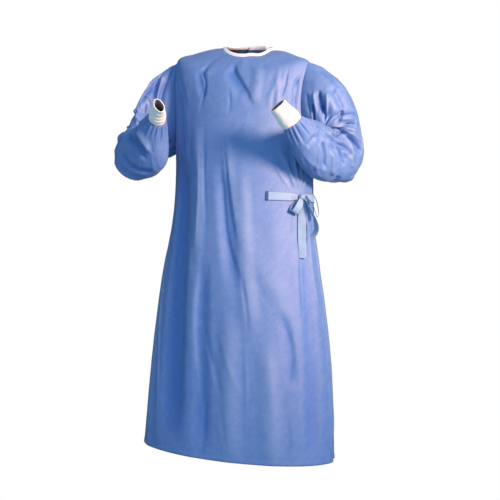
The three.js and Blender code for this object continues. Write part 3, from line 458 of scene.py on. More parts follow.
RIGHT_CREASES = [
    # Shoulder and upper arm
    ([(12, 0.2), (-10, 0.45), (-32, 0.9)], (7, 20), -6, 0.4),
    ([(6, 0.3), (34, 0.5), (66, 0.85), (92, 1.05)], (8, 14), -9, 0.5),
    ([(30, 0.9), (56, 1.05), (80, 1.3)], (7, 7), 5, 0.5),
    ([(34, 1.3), (58, 1.4), (76, 1.55), (92, 1.7)], (8, 15), -9, 0.5),
    ([(54, 2.6), (72, 2.05), (84, 1.95)], (6, 12), 6, 0.6),
    ([(20, 1.0), (50, 1.9), (60, 3.4)], (8, 16), -5, 0.5),
    ([(-10, 1.0), (10, 1.9), (26, 2.9)], (10, 20), -3, 0.4),
    ([(70, 2.6), (84, 2.9), (100, 3.3)], (7, 14), -8, 0.5),
    # Elbow
    ([(62, 4.0), (36, 4.3), (8, 4.2), (-20, 4.2)], (7, 15), -8, 0.6),
    ([(60, 4.8), (34, 5.0), (4, 4.9)], (8, 14), 6, 0.5),
    ([(62, 5.7), (34, 5.8), (4, 5.7), (-24, 5.8)], (7, 15), -9, 0.6),
    ([(54, 6.5), (24, 6.6), (-8, 6.5)], (8, 14), 6, 0.5),
    ([(56, 7.2), (28, 7.3), (-4, 7.2), (-34, 7.2)], (7, 15), -7, 0.5),
    # Forearm
    ([(34, 7.9), (12, 8.1), (-14, 8.6), (-36, 9.0), (-66, 9.2), (-92, 9.1)], (9, 20), -10, 0.4),
    ([(-18, 9.6), (-58, 9.8), (-104, 9.6)], (10, 18), 6, 0.3),
    ([(28, 9.6), (4, 9.7), (-20, 10.0)], (6, 12), -5, 0.5),
    # Underside
    ([(-30, 7.8), (-76, 8.1), (-124, 8.6)], (9, 16), -6, 0.5),
    ([(-40, 7.0), (-84, 7.3), (-128, 7.6)], (9, 15), 5, 0.4),
    ([(-40, 6.2), (-84, 6.3), (-128, 6.4)], (9, 16), -6, 0.4),
    # Inner side
    ([(112, 4.6), (150, 4.8), (182, 4.9)], (8, 15), -8, 0.5),
    ([(108, 6.6), (150, 6.9), (190, 7.0)], (8, 15), -8, 0.5),
    ([(104, 8.0), (146, 8.3), (190, 8.5)], (8, 15), -6, 0.5),
    # Back of the arm
    ([(-70, 0.7), (-82, 1.9), (-92, 3.1)], (8, 18), -6, 0.5),
    ([(-108, 0.7), (-120, 1.8), (-128, 3.0)], (8, 18), -6, 0.5),
    ([(-50, 3.7), (-80, 3.9), (-114, 3.8)], (8, 15), -7, 0.5),
    ([(-46, 4.6), (-82, 4.8), (-120, 4.8)], (7, 14), 6, 0.5),
    ([(-46, 5.4), (-86, 5.6), (-124, 5.5)], (8, 15), -7, 0.5),
]
SLEEVE_CREASES = {"left": LEFT_CREASES + SHARED_CREASES, "right": RIGHT_CREASES + SHARED_CREASES}

# Gathers above the cuffs
GATHERS = 14
FINE_GATHERS = 23
FINE_GATHER_SHARE = 0.45
GATHER_DRIFT = 1.6
GATHER_SEEDS = {"left": 11, "right": 17}
GATHER_LIFT = 2.6
GATHER_START = 9.9
GATHER_RISE = 0.7
GATHER_SEAM_LIFT = 0.35
GATHER_SEAM_START = 10.6
GATHER_SEAM_RUN = 0.4

# Cuffs: heading, length and narrow way, and their profile as share along, size, and how far
# they are flattened across the narrow way
CUFF_HEADING = {"left": (-0.47, -0.57, 0.68), "right": (0.5, -0.7, 0.51)}
CUFF_LENGTH = {"left": 63, "right": 62}
CUFF_NARROW = {"left": (0.611, -0.761, -0.218), "right": (0.686, 0.679, 0.262)}
CUFF_PROFILE = {
    "left": np.array([
        (0, 0.95, 1), (0.12, 0.99, 1), (0.3, 1.01, 1), (0.5, 0.93, 0.97), (0.72, 0.85, 0.94),
        (1, 0.8, 0.9),
    ]),
    "right": np.array([
        (0, 0.95, 1), (0.12, 0.98, 0.99), (0.3, 1, 0.96), (0.5, 0.97, 0.88), (0.72, 0.93, 0.75),
        (1, 0.9, 0.64),
    ]),
}
CUFF_WALL = 2.2
CUFF_ROWS = 64
CUFF_RIBS = 66
POINTS_PER_RIB = 5
RIB_LIFT = 0.4
RIB_AT_ENDS = 0.3
RIB_RISE = 12
CUFF_NOISE = (9, 1, 31)
CUFF_NOISE_ROWS = 7
WRINKLE_START = 0.1
CUFF_WRINKLES = {"left": 0.8, "right": 1.0}
CUFF_RINGS = 4.5
RING_SLANT = 0.12
MOUTH_ROLL = 0.6
MOUTH_ROLL_WIDTH = 2.2
SEAM_GAP = 0.34

# Ribbons of the bow. Those of the side loop and short end are placed to the right, near and
# up as the camera sees them, the others along the gown, out from it and up; then the width.
LOOP_SIDE = np.array([
    (10.7, -3, 4, 14), (22, -4, 9, 18), (34, -5, 4, 18), (43, -5, -14, 18), (48, -5, -38, 18),
    (48.5, -5, -50, 18), (45, -5, -54, 18), (41, -5, -47, 18), (35, -5, -28, 18), (25, -4, -9, 18),
    (11.3, -3, -2.5, 14),
], float)
TAIL_SHORT = np.array([
    (8.2, 4.6, -6.9, 12), (17, 12, -22, 16), (29, 17, -45, 20), (40, 17, -66, 22),
    (44, 15, -84, 22), (40, 13, -100, 22), (31, 12, -113, 22),
], float)
LOOP_FRONT = np.array([
    (-7, 7.5, -7, 14), (-12, 12, -18, 21), (-18, 14, -30, 24), (-24, 10, -41, 24), (-27, 3, -45, 24),
    (-26, -4, -41, 24), (-20, -6.5, -30, 24), (-12, -6, -19, 18), (-5, -3, -11, 12),
], float)
TAIL_LONG = np.array([
    (1, 2, -10.2, 11), (1, 3, -24, 19), (1, 2.5, -45, 24), (0, 3.5, -78, 24), (0, 6.5, -112, 24),
    (0, 10, -146, 24), (0, 13, -172, 24),
], float)


def smooth(t):
    t = np.clip(t, 0, 1)
    return t * t * (3 - 2 * t)


def unit(vectors):
    vectors = np.asarray(vectors, float)
    return vectors / np.maximum(np.linalg.norm(vectors, axis=-1, keepdims=True), 1e-9)


def row_at(table, place):
    """A row of a table between its rows, on a smooth curve through them."""
    place = np.asarray(place, float)
    last = len(table) - 1
    start = np.clip(np.floor(place).astype(int), 0, last - 1)
    t = (place - start)[..., None]
    a, b, c, d = (table[np.clip(start + k, 0, last)] for k in (-1, 0, 1, 2))
    return b + 0.5 * t * (c - a + t * (2 * a - 5 * b + 4 * c - d + t * (3 * (b - c) + d - a)))


def running_length(points, axis=0):
    """Lengths along points from the first of them."""
    steps = np.linalg.norm(np.diff(points, axis=axis), axis=-1)
    start = np.zeros_like(np.take(steps, [0], axis))
    return np.concatenate([start, np.cumsum(steps, axis)], axis)


# Folds, creases and unevenness

def hump(off):
    return 0.5 * (1 + np.cos(np.pi * off))


def fold_lift(folds, across, along, scale):
    """How far straight folds lift the points of a piece of cloth."""
    lift = np.zeros(np.broadcast(across, along).shape)
    for from_turn, from_place, to_turn, to_place, width, height in folds:
        turns = to_turn - from_turn
        run = np.array([turns * scale[0], (to_place - from_place) * scale[1]])
        reach = across - from_turn
        reach = reach - FULL_TURN * np.round((reach - turns / 2) / FULL_TURN)
        reach = reach * scale[0]
        drop = (along - from_place) * scale[1]
        length = np.hypot(*run)
        share = (reach * run[0] + drop * run[1]) / length ** 2
        off = np.abs(reach * run[1] - drop * run[0]) / length
        ends = smooth(share / FOLD_END) * smooth((1 - share) / FOLD_END)
        inside = (off < width) & (share > 0) & (share < 1)
        lift += np.where(inside, height * ends * hump(off / width), 0)
    return lift


def crease_lift(creases, across, along, scale, end):
    """How far curved creases lift the cloth, each measured from the nearest point of its path."""
    lift = np.zeros(np.broadcast(across, along).shape)
    for path, widths, height, crisp in creases:
        points = np.array(path, float)
        samples = row_at(points, np.linspace(0, len(points) - 1, 4 * (len(points) - 1) + 1))
        steps = (samples[1:] - samples[:-1]) * scale
        lengths = np.hypot(steps[:, 0], steps[:, 1])
        nearest = np.full(lift.shape, np.inf)
        side = np.zeros(lift.shape)
        share = np.zeros(lift.shape)
        turn = across - FULL_TURN * np.round((across - points[:, 0].mean()) / FULL_TURN)
        start = 0.0
        for (turn0, place0), step, length in zip(samples[:-1], steps, lengths):
            reach = (turn - turn0) * scale[0]
            drop = (along - place0) * scale[1]
            t = np.clip((reach * step[0] + drop * step[1]) / length ** 2, 0, 1)
            gap = np.hypot(reach - t * step[0], drop - t * step[1])
            near = gap < nearest
            nearest = np.where(near, gap, nearest)
            side = np.where(near, np.sign(reach * step[1] - drop * step[0]), side)
            share = np.where(near, (start + t * length) / lengths.sum(), share)
            start += length
        off = np.clip(nearest / np.where(side < 0, widths[0], widths[1]), 0, 1)
        ends = smooth(share / end) * smooth((1 - share) / end)
        lift += height * ends * ((1 - crisp) * hump(off) + crisp * (1 - off) ** 2)
    return lift


def value_noise(turn, along, cells, size_along, seed):
    """Smooth noise from -1 to 1, with so many cells in a full turn, the same in every run."""
    grid = np.random.default_rng(seed).uniform(-1, 1, (cells, NOISE_ROWS))
    u, v = turn * cells / FULL_TURN, along / size_along
    iu, iv = np.floor(u).astype(int), np.floor(v).astype(int)
    fu, fv = smooth(u - iu), smooth(v - iv)
    low, high = (grid[iu % cells, (iv + k) % NOISE_ROWS] * (1 - fu)
                 + grid[(iu + 1) % cells, (iv + k) % NOISE_ROWS] * fu for k in (0, 1))
    return low * (1 - fv) + high * fv


def crumple(layers, turn, along):
    """Noise with sharp crests, as cloth that was folded keeps them."""
    lift = 0
    for height, slant, cells, size_along, seed in layers:
        noise = value_noise(turn + slant * along, along, cells, size_along, seed)
        lift = lift + height * (CREST_LEVEL - np.abs(noise))
    return lift


# Body surface

def neck_sag(row, turn):
    off = np.minimum(1, np.abs(turn - NECK_SAG_TURN) / NECK_SAG_WIDTH)
    return NECK_SAG_DEPTH * hump(off) * smooth(1 - row / NECK_SAG_ROWS)


def plain_body(row, turn):
    half, shift, slope, side_y, side_z, front_y, front_z, back_y, back_z = np.moveaxis(
        row_at(BODY_RINGS, row), -1, 0)
    across, toward = np.sin(np.radians(turn)), np.cos(np.radians(turn))
    end_y = np.where(toward > 0, front_y, back_y)
    end_z = np.where(toward > 0, front_z, back_z)
    x = half * across
    y = side_y + (end_y - side_y) * np.abs(toward)
    z = side_z * across ** 2 + end_z * toward ** 2 + slope * x - neck_sag(row, turn)
    return np.stack([x + shift, y, z], -1)


def body_normal(row, turn):
    row_step, turn_step = 0.02, 0.5
    down = plain_body(np.minimum(row + row_step, HEM_ROW), turn)
    up = plain_body(np.maximum(row - row_step, 0), turn)
    ahead = plain_body(row, turn + turn_step) - plain_body(row, turn - turn_step)
    return unit(np.cross(ahead, up - down))


def belt_press(turn, height):
    """The belt presses the folds flat on the side that it runs round."""
    turn = np.mod(turn, FULL_TURN)
    sides = smooth((turn - BELT_FLAT_TURNS[0]) / BELT_FLAT_FADE)
    sides = sides * smooth((BELT_FLAT_TURNS[1] - turn) / BELT_FLAT_FADE)
    return 1 - sides * (1 - smooth(np.abs(height - BELT_HEIGHT) / BELT_FLAT_HALF))


def body_lift(row, turn):
    """How far the folds lift the cloth of the body."""
    height = plain_body(row, turn)[..., 2]
    scale = (FOLD_MM_PER_DEGREE, 1.0)
    lift = FOLD_SHARE * fold_lift(BODY_FOLDS, turn, height, scale)
    lift = lift + BODY_CREASE_DEPTH * crease_lift(BODY_CREASES, turn, height, scale, BODY_CREASE_END)
    lift = lift + BODY_DRIFT[0] * value_noise(turn, height, *BODY_DRIFT[1:])
    lift = lift + crumple(BODY_CRUMPLE, turn, height)
    return lift * belt_press(turn, height) * smooth(row / PLAIN_NECK_ROWS)


def body_point(row, turn, inward=0.0):
    """A point of the folded cloth of the body, or so far in from it."""
    lift = body_lift(row, turn) - inward
    return plain_body(row, turn) + body_normal(row, turn) * lift[..., None]


def armhole_turn(row, scoop):
    down = np.clip((row - SHOULDER_ROW) / (ARMPIT_ROW - SHOULDER_ROW), 0, 1)
    return 90 - scoop * np.sin(np.pi * down) ** SCOOP_POWER


def front_seam(row):
    return armhole_turn(row, FRONT_SCOOP)


def back_seam(row):
    return 180 - armhole_turn(row, BACK_SCOOP)


def back_edge(row, column):
    below = np.clip(np.searchsorted(BACK_EDGES[:, 0], row), 1, len(BACK_EDGES) - 1)
    low, high = BACK_EDGES[below - 1], BACK_EDGES[below]
    share = smooth((row - low[..., 0]) / (high[..., 0] - low[..., 0]))
    return low[..., column] + (high[..., column] - low[..., column]) * share


def under_edge(row):
    return back_edge(row, 1)


def over_edge(row):
    return -back_edge(row, 2)


def under_body(row, turn):
    """The under back, tucked in where the over back laps it."""
    start = FULL_TURN + over_edge(row) - TUCK_START
    return body_point(row, turn, FLAP_TUCK * smooth((turn - start) / TUCK_RUN))


def over_body(row, turn):
    """The over back, its free edge lying down on the under back below the belt."""
    near_edge = smooth((over_edge(row) - turn + LAP_RUN) / LAP_RUN)
    return body_point(row, turn, LAP_DIP * near_edge * smooth((row - BELT_ROW) / LAP_ROWS))


# Meshes

def add_mesh(node, points, faces, uv, material, relief=None):
    name = "cloth_" + node
    mesh = bpy.data.meshes.new(name)
    mesh.from_pydata((points.reshape(-1, 3) * MM).tolist(), [], faces)
    layer = mesh.uv_layers.new(name="cloth")
    corners = np.array([loop.vertex_index for loop in mesh.loops])
    layer.data.foreach_set("uv", (uv.reshape(-1, 2) * MM)[corners].ravel())
    # The relief attribute holds the fold lift, which the cloth's colour uses to paint shade into the
    # valleys and light onto the ridges
    if relief is not None:
        height = mesh.attributes.new("relief", "FLOAT", "POINT")
        height.data.foreach_set("value", np.clip(relief / FULL_FOLD_SHADE_LIFT, -1, 1).ravel())
    for polygon in mesh.polygons:
        polygon.use_smooth = True
    piece = bpy.data.objects.new(name, mesh)
    bpy.context.collection.objects.link(piece)
    mesh.materials.append(material)
    return piece


def grid_faces(rows, columns, closed=False, flip=False):
    faces = []
    for i in range(rows - 1):
        for j in range(columns if closed else columns - 1):
            k = (j + 1) % columns
            face = (i * columns + j, (i + 1) * columns + j, (i + 1) * columns + k, i * columns + k)
            faces.append(face[::-1] if flip else face)
    return faces


def capped_faces(rows, columns, flip=False):
    """Faces of a tube with both of its ends closed."""
    start = (rows - 1) * columns
    ends = [tuple(range(columns)), tuple(range(start + columns - 1, start - 1, -1))]
    return grid_faces(rows, columns, True, flip) + ends


def grid_uv(points):
    """Lengths along the cloth from its first row and its middle column."""
    u = running_length(points, 1)
    return np.stack([u - u[:, [points.shape[1] // 2]], -running_length(points, 0)], -1)


def settle(piece, node):
    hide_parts(node)
    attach(piece, "root")
    return piece


def finish_sheet(piece, thickness, node, shaded_inside=None):
    """Give a sheet of cloth its thickness, inwards from its outer side; a given inside material goes on
    the inner faces as painted shade.
    """
    wall = piece.modifiers.new("wall", "SOLIDIFY")
    if shaded_inside is not None:
        piece.data.materials.append(shaded_inside)
        wall.material_offset = 1
    wall.thickness = thickness * MM
    wall.offset = -1
    wall.use_even_offset = False
    bpy.context.view_layer.objects.active = piece
    piece.select_set(True)
    bpy.ops.object.modifier_apply(modifier="wall")
    piece.select_set(False)
    return settle(piece, node)


def finish_solid(piece, node):
    """Point the faces of a closed piece out."""
    bpy.context.view_layer.objects.active = piece
    piece.select_set(True)
    bpy.ops.object.mode_set(mode="EDIT")
    bpy.ops.mesh.select_all(action="SELECT")
    bpy.ops.mesh.normals_make_consistent(inside=False)
    bpy.ops.object.mode_set(mode="OBJECT")
    piece.select_set(False)
    return settle(piece, node)


# Panels

def body_rows(step):
    """Rows of a panel about one step of cloth apart."""
    fine = np.linspace(0, HEM_ROW, 1301)
    run = running_length(plain_body(fine, np.full(fine.shape, 60.0)))
    count = int(run[-1] / step)
    return np.interp(np.linspace(0, run[-1], count + 1), run, fine)


def seam_dips(grid, normals, columns):
    """Draw the cloth in beside the seams at the given end columns."""
    for column in columns:
        away = running_length(grid, 1)
        if column < 0:
            away = away[:, [-1]] - away
        dip = SEAM_DIP * (1 - smooth(away / SEAM_REACH))
        grid = grid - normals * dip[..., None]
    return grid


def hem_step(grid, normals):
    """Stand the folded hem a little proud, with its line of bonding above it."""
    down = running_length(grid, 0)
    above = down[-1] - down - HEM_FOLD
    step = HEM_STAND * (1 - smooth(above / HEM_RAMP)) - BOND_DEPTH * np.exp(-(above / BOND_WIDTH) ** 2)
    return grid + normals * step[..., None]


def panel(name, columns, start, end, surface, seams, flip):
    rows = body_rows(PANEL_STEP)
    row = np.repeat(rows[:, None], columns, 1)
    turn = start(rows)[:, None]
    turn = turn + (end(rows)[:, None] - turn) * np.linspace(0, 1, columns)
    grid = surface(row, turn)
    normals = body_normal(row, turn)
    grid = hem_step(seam_dips(grid, normals, seams), normals)
    faces = grid_faces(len(rows), columns, flip=flip)
    # The fold lift goes on the mesh for painted shade in the cloth's valleys and painted light on its
    # ridges; the inner faces get the blue in painted shade
    piece = add_mesh(name, grid, faces, grid_uv(grid), nonwoven, body_lift(row, turn))
    return finish_sheet(piece, CLOTH, name, nonwoven_shaded_inside)


# Sleeves

def armhole_edge(side, fraction):
    """The edge of the armhole, down its front and up its back, as rows and turns."""
    sign = 1 if side == "left" else -1
    down = np.minimum(fraction, 1 - fraction) * 2
    row = SHOULDER_ROW + (ARMPIT_ROW - SHOULDER_ROW) * down
    return row, sign * np.where(fraction <= 0.5, front_seam(row), back_seam(row))


def sleeve_section(side, place, degrees):
    section = row_at(SLEEVE_SECTIONS[side], place)
    angle = np.radians(degrees)[..., None]
    return section[..., 0:3] + section[..., 3:6] * np.cos(angle) + section[..., 6:9] * np.sin(angle)


def tube_normals(grid, side):
    """Directions out of a tube of cloth."""
    ahead = np.roll(grid, -1, 1) - np.roll(grid, 1, 1)
    normals = unit(np.cross(ahead, np.gradient(grid, axis=0)))
    return -normals if side == "right" else normals


def sleeve_gathers(place, degrees, side):
    """Uneven waves where the sleeve is drawn into the cuff, flat again in the seam."""
    angle = np.radians(degrees)
    seed = GATHER_SEEDS[side]
    uneven = value_noise(degrees, place * 0, GATHERS, 1, seed)
    wave = np.sin(GATHERS * angle + GATHER_DRIFT * uneven)
    wave = wave + FINE_GATHER_SHARE * np.sin(FINE_GATHERS * angle + seed)
    rise = smooth((place - GATHER_START) / GATHER_RISE)
    seam = 1 - (1 - GATHER_SEAM_LIFT) * smooth((place - GATHER_SEAM_START) / GATHER_SEAM_RUN)
    return GATHER_LIFT * rise * seam * wave * (0.8 + 0.3 * uneven)


def sleeve_grid(side, rows, columns):
    fraction = np.arange(columns) / columns
    row, turn = armhole_edge(side, fraction)
    edge = body_point(row, turn)
    degrees = np.broadcast_to(FULL_TURN * fraction, (rows, columns))
    place = np.broadcast_to(np.linspace(0, LAST_SECTION, rows)[:, None], (rows, columns))
    rest = np.maximum(0, 1 - place / ARMHOLE_FADE)[..., None] ** 2
    plain = sleeve_section(side, place, degrees)
    plain = plain + rest * (edge - sleeve_section(side, np.zeros(columns), degrees[0]))
    scale = (SLEEVE_MM_PER_DEGREE, SLEEVE_MM_PER_SECTION)
    creases = crease_lift(SLEEVE_CREASES[side], degrees, place, scale, SLEEVE_CREASE_END)
    lift = fold_lift(SLEEVE_FOLDS[side], degrees, place, scale) + SLEEVE_CREASE_DEPTH * creases
    lift = lift + crumple(SLEEVE_CRUMPLE, degrees, place)
    lift = lift * smooth(place) * smooth((LAST_SECTION - place) / SLEEVE_END_FADE)
    lift = lift + sleeve_gathers(place, degrees, side)
    dip = SEAM_DIP * (1 - smooth(place * SLEEVE_MM_PER_SECTION / SEAM_REACH))
    grid = plain + tube_normals(plain, side) * (lift - dip)[..., None]
    inward = np.array([-SEAM_ALLOWANCE if side == "left" else SEAM_ALLOWANCE, 0, 0])
    tucked = edge + inward - SEAM_TUCK * body_normal(row, turn)
    return np.concatenate([tucked[None], grid]), np.concatenate([lift[:1], lift])


def sleeve(side):
    rows, columns = SLEEVE_ROWS, SLEEVE_COLUMNS
    grid, lift = sleeve_grid(side, rows - 1, columns)
    faces = grid_faces(rows, columns, True, side == "left")
    # The fold lift goes on the mesh for painted shade in the cloth's valleys and painted light on its
    # ridges
    piece = add_mesh("sleeve_" + side, grid, faces, grid_uv(grid), nonwoven, lift)
    return finish_sheet(piece, CLOTH, "sleeve_" + side)


# Cuffs: ribbed knit tubes, with soft ring wrinkles where the knit is pushed back

def cuff(side):
    rows, columns = CUFF_ROWS, CUFF_RIBS * POINTS_PER_RIB
    wrist = SLEEVE_SECTIONS[side][-1]
    heading, narrow = unit(CUFF_HEADING[side]), unit(CUFF_NARROW[side])
    across, upward = (part - heading * part.dot(heading) for part in (wrist[3:6], wrist[6:9]))
    turn = 2 * np.pi * np.arange(columns) / columns
    share = np.linspace(0, 1, rows)[:, None]
    profile = CUFF_PROFILE[side]
    size, flat = (np.interp(share, profile[:, 0], profile[:, k]) for k in (1, 2))
    ring = across * np.cos(turn)[:, None] + upward * np.sin(turn)[:, None]
    rings_out = ring + narrow * ((flat - 1) * ring.dot(narrow))[..., None]
    wave = value_noise(np.degrees(turn), share * CUFF_NOISE_ROWS, *CUFF_NOISE)
    rings = np.sin(2 * np.pi * (share * CUFF_RINGS + RING_SLANT * np.sin(turn + 1.1)))
    ribs = np.minimum(1, RIB_RISE * share * (1 - share) + RIB_AT_ENDS)
    lift = RIB_LIFT * np.cos(CUFF_RIBS * turn) * ribs
    wrinkles = rings * (0.6 + 0.4 * wave) + 0.7 * wave
    lift = lift + CUFF_WRINKLES[side] * wrinkles * smooth(share / WRINKLE_START)
    roll = MOUTH_ROLL * np.exp(-((1 - share) * CUFF_LENGTH[side] / MOUTH_ROLL_WIDTH) ** 2)
    length = np.linalg.norm(rings_out, axis=2) * size + lift + roll
    points = wrist[0:3] + heading * (SEAM_GAP + share[..., None] * CUFF_LENGTH[side])
    points = points + unit(rings_out) * length[..., None]
    faces = grid_faces(rows, columns, True, side == "left")
    piece = add_mesh("cuff_" + side, points, faces, grid_uv(points), knit)
    # The cuff's inner faces get the knit in painted shade
    return finish_sheet(piece, CUFF_WALL, "cuff_" + side, knit_shaded_inside)


# Neck

def rounded(wave):
    return np.sign(wave) * np.abs(wave) ** BINDING_ROUNDING


def binding():
    """The tape round the neck stands on the edge, rounded over its top, with a row of stitches."""
    start = np.array(0.0)
    turns = np.linspace(over_edge(start), under_edge(start), BINDING_COLUMNS)
    row = np.zeros(turns.shape)
    edge = np.where((turns > 0)[:, None], under_body(row, turns), body_point(row, turns))
    normal = body_normal(row, turns)
    rise = unit(plain_body(row, turns) - plain_body(row + 0.1, turns))
    rise = unit(rise + BINDING_LEAN * UP)
    out = unit(normal - rise * np.sum(normal * rise, 1, keepdims=True))
    middle = edge - normal * CLOTH / 2 + rise * (BINDING_GAP + BINDING_HEIGHT / 2)
    middle = middle + out * (BINDING_WAVE * value_noise(turns, row, *BINDING_NOISE))[:, None]
    angle = 2 * np.pi * np.arange(BINDING_POINTS) / BINDING_POINTS
    height = rounded(np.cos(angle)) * BINDING_HEIGHT / 2
    thick = rounded(np.sin(angle)) * BINDING_WALL / 2
    run = running_length(middle)
    puff = 1 + STITCH_PUFF * np.sin(2 * np.pi * run / STITCH_LENGTH)
    stitches = STITCH_DIP * np.exp(-((height - BINDING_HEIGHT * STITCH_PLACE) / STITCH_WIDTH) ** 2)
    face = thick * puff[:, None] - np.sign(thick) * stitches
    rings = middle[:, None] + rise[:, None] * height[None, :, None] + out[:, None] * face[..., None]
    uv = np.stack(np.broadcast_arrays(run[:, None], height), -1)
    piece = add_mesh("neck_binding", rings, capped_faces(*face.shape), uv, tape)
    return finish_solid(piece, "neck_binding")


def neck_patch():
    """Hook-and-loop patch between the two backs."""
    row = np.linspace(*PATCH_ROWS, PATCH_POINTS[0])
    turn = np.linspace(*PATCH_TURNS, PATCH_POINTS[1])
    row, turn = np.meshgrid(row, turn, indexing="ij")
    grid = body_point(row, turn, PATCH_DEPTH)
    piece = add_mesh("neck_patch", grid, grid_faces(*row.shape), grid_uv(grid), tape)
    return finish_sheet(piece, PATCH_WALL, "neck_patch")


# Belt and bow

def swept(name, points, across, width, thickness, material, folds=None):
    """A flat strip with rounded edges along a line, as wide as width at each point."""
    along = unit(np.gradient(points, axis=0))
    across = unit(across - along * np.sum(across * along, 1, keepdims=True))
    out = unit(np.cross(along, across))
    share = np.linspace(-1, 1, STRIP_STEPS + 1)
    rounding = np.sqrt(np.maximum(0, 1 - np.abs(share) ** STRIP_ROUNDING))
    reach = np.concatenate([share, share[-2:0:-1]])
    level = np.concatenate([rounding, -rounding[-2:0:-1]])
    side = reach * np.asarray(width)[:, None] / 2
    face = np.broadcast_to(level * thickness / 2, side.shape)
    place = np.linspace(0, 1, len(points))[:, None]
    if folds is not None:
        face = face + folds(place, reach)
    rings = points[:, None] + across[:, None] * side[..., None] + out[:, None] * face[..., None]
    uv = np.stack(np.broadcast_arrays(side, place * running_length(points)[-1]), -1)
    return add_mesh(name, rings, capped_faces(*side.shape, flip=True), uv, material)


def belt_base(turn, height, lift):
    rise = height - BELT_HEIGHT
    neighbour = np.where(rise > 0, BODY_RINGS[ARMPIT_ROW, 4], BODY_RINGS[BELT_ROW + 1, 4])
    row = BELT_ROW - rise / np.abs(neighbour - BODY_RINGS[BELT_ROW, 4])
    return body_point(row, turn, -lift)


KNOT_NORMAL = body_normal(np.array(float(BELT_ROW)), np.array(float(KNOT_TURN)))
KNOT_ALONG = unit(np.cross(UP, KNOT_NORMAL))
KNOT_MIDDLE = belt_base(np.array(float(KNOT_TURN)), np.array(float(BELT_HEIGHT)), KNOT_OUT)
GOWN_AXES = np.array([KNOT_ALONG, KNOT_NORMAL, UP])


def from_knot(reach, axes):
    return KNOT_MIDDLE + np.asarray(reach, float) @ axes


def belt_line(turns, width, wall):
    tops, bottoms = (belt_base(turns, np.full(turns.shape, BELT_HEIGHT + edge * width / 2),
                               BELT_LIFT + wall / 2) for edge in (1, -1))
    return (tops + bottoms) / 2, tops - bottoms


def belt_flat(points):
    return (BELT_WIDTH * MM, running_length(points)[-1] * MM)


def pinch(t, s):
    """Small pleats where the belt narrows into the knot."""
    return PINCH_LIFT * smooth((t - PINCH_START) / PINCH_RUN) * np.sin(PINCH_PLEATS * s)


def belt_run(name, turns, end, with_it=()):
    """A length of belt along the gown, narrowing into the knot."""
    line, across = belt_line(np.linspace(*turns, BELT_POINTS), BELT_WIDTH, RIBBON)
    share = np.linspace(0, 1, NARROWING_POINTS + 1)[1:, None]
    line = np.concatenate([line, line[-1] + (end - line[-1]) * share])
    across = np.concatenate([unit(across), unit(across[-1] * (1 - share) + UP * share)])
    narrowing = np.interp(share[:, 0], [0, 0.5, 1], [BELT_WIDTH, NARROWING_WIDTH, PINCHED_WIDTH])
    width = np.concatenate([np.full(BELT_POINTS, BELT_WIDTH), narrowing])
    piece = swept(name, line, across, width, RIBBON, belt_cloth, pinch)
    belt_flat(line)
    return finish_solid(piece, name)


def belt_tack():
    turns = np.linspace(*TACK_TURNS, TACK_POINTS)
    width = BELT_WIDTH + TACK_STAND_OUT
    line, across = belt_line(turns, width, 2 * RIBBON)
    # The tack's darker blue is painted shade for the shadow on the belt's folded end
    piece = swept("belt_tack", line, across, np.full(TACK_POINTS, width), 2 * RIBBON,
                  painted_shade_cloth)
    return finish_solid(piece, "belt_tack")


def ribbon(name, table, axes, across_at, ripple):
    """A loop or a free end of the bow, with its edges curling a little."""
    fine = np.linspace(0, len(table) - 1, RIBBON_POINTS * (len(table) - 1) + 1)
    rows = row_at(table, fine)
    points = from_knot(rows[:, :3], axes)
    across = across_at((fine / fine[-1])[:, None])
    piece = swept(name, points, across, rows[:, 3], RIBBON, belt_cloth, lambda t, s: ripple * (
        np.sin(5 * t * np.pi) * 0.5 * s + np.cos(3.1 * t * np.pi) * s * s))
    belt_flat(points)
    return finish_solid(piece, name)


def belt_knot():
    """The knot: cloth wound over itself in bands, drawn tight in the middle."""
    rows, columns = KNOT_ROWS, KNOT_COLUMNS
    tilt = np.linspace(0, np.pi, rows)[:, None]
    turn = 2 * np.pi * np.arange(columns) / columns
    x, y = np.cos(tilt) + 0 * turn, np.sin(tilt) * np.cos(turn)
    z = np.sin(tilt) * np.sin(turn)
    band = 0.5 * (1 + np.tanh(9 * (0.42 - np.abs(x - 0.12 * y))))
    winding = np.abs(np.sin(7.5 * (z + 0.35 * x) + 0.8 * y)) * (1 - band)
    grooves = np.abs(np.sin(8 * x + 1.5 * y))
    size = KNOT_CORE + KNOT_BAND * band + KNOT_WINDING * (winding - grooves)
    half_x, half_y, half_z = KNOT_HALF
    points = from_knot(np.stack([half_x * x * size, half_z * z * size, half_y * y * size], -1), VIEW_AXES)
    rings = points[1:-1].reshape(-1, 3)
    first, last = len(rings), len(rings) + 1
    faces = grid_faces(rows - 2, columns, True)
    for j in range(columns):
        k = (j + 1) % columns
        faces.append((first, j, k))
        faces.append((last, first - columns + k, first - columns + j))
    corners = np.concatenate([rings, points[0, :1], points[-1, :1]])
    uv = np.stack([corners.dot(KNOT_ALONG), corners[:, 2]], -1)
    return finish_solid(add_mesh("belt_knot", corners, faces, uv, belt_cloth), "belt_knot")


# Materials

def node(tree, kind, **values):
    made = tree.nodes.new(kind)
    for name, value in values.items():
        if name in made.inputs:
            made.inputs[name].default_value = value
        else:
            setattr(made, name, value)
    return made


def math_node(tree, operation, a, b=None):
    made = tree.nodes.new("ShaderNodeMath")
    made.operation = operation
    for socket, value in zip(made.inputs, (a, b)):
        if isinstance(value, bpy.types.NodeSocket):
            tree.links.new(value, socket)
        elif value is not None:
            socket.default_value = value
    return made.outputs[0]


def weighted(tree, *terms):
    """Sum of outputs, each times its weight."""
    parts = [math_node(tree, "MULTIPLY", output, weight) for output, weight in terms]
    total = parts[0]
    for part in parts[1:]:
        total = math_node(tree, "ADD", total, part)
    return total


def wave_node(tree, output, rate):
    return math_node(tree, "SINE", math_node(tree, "MULTIPLY", output, rate))


def per_length(length):
    """Angle a metre of a wave of this length in metres."""
    return 2 * math.pi / length


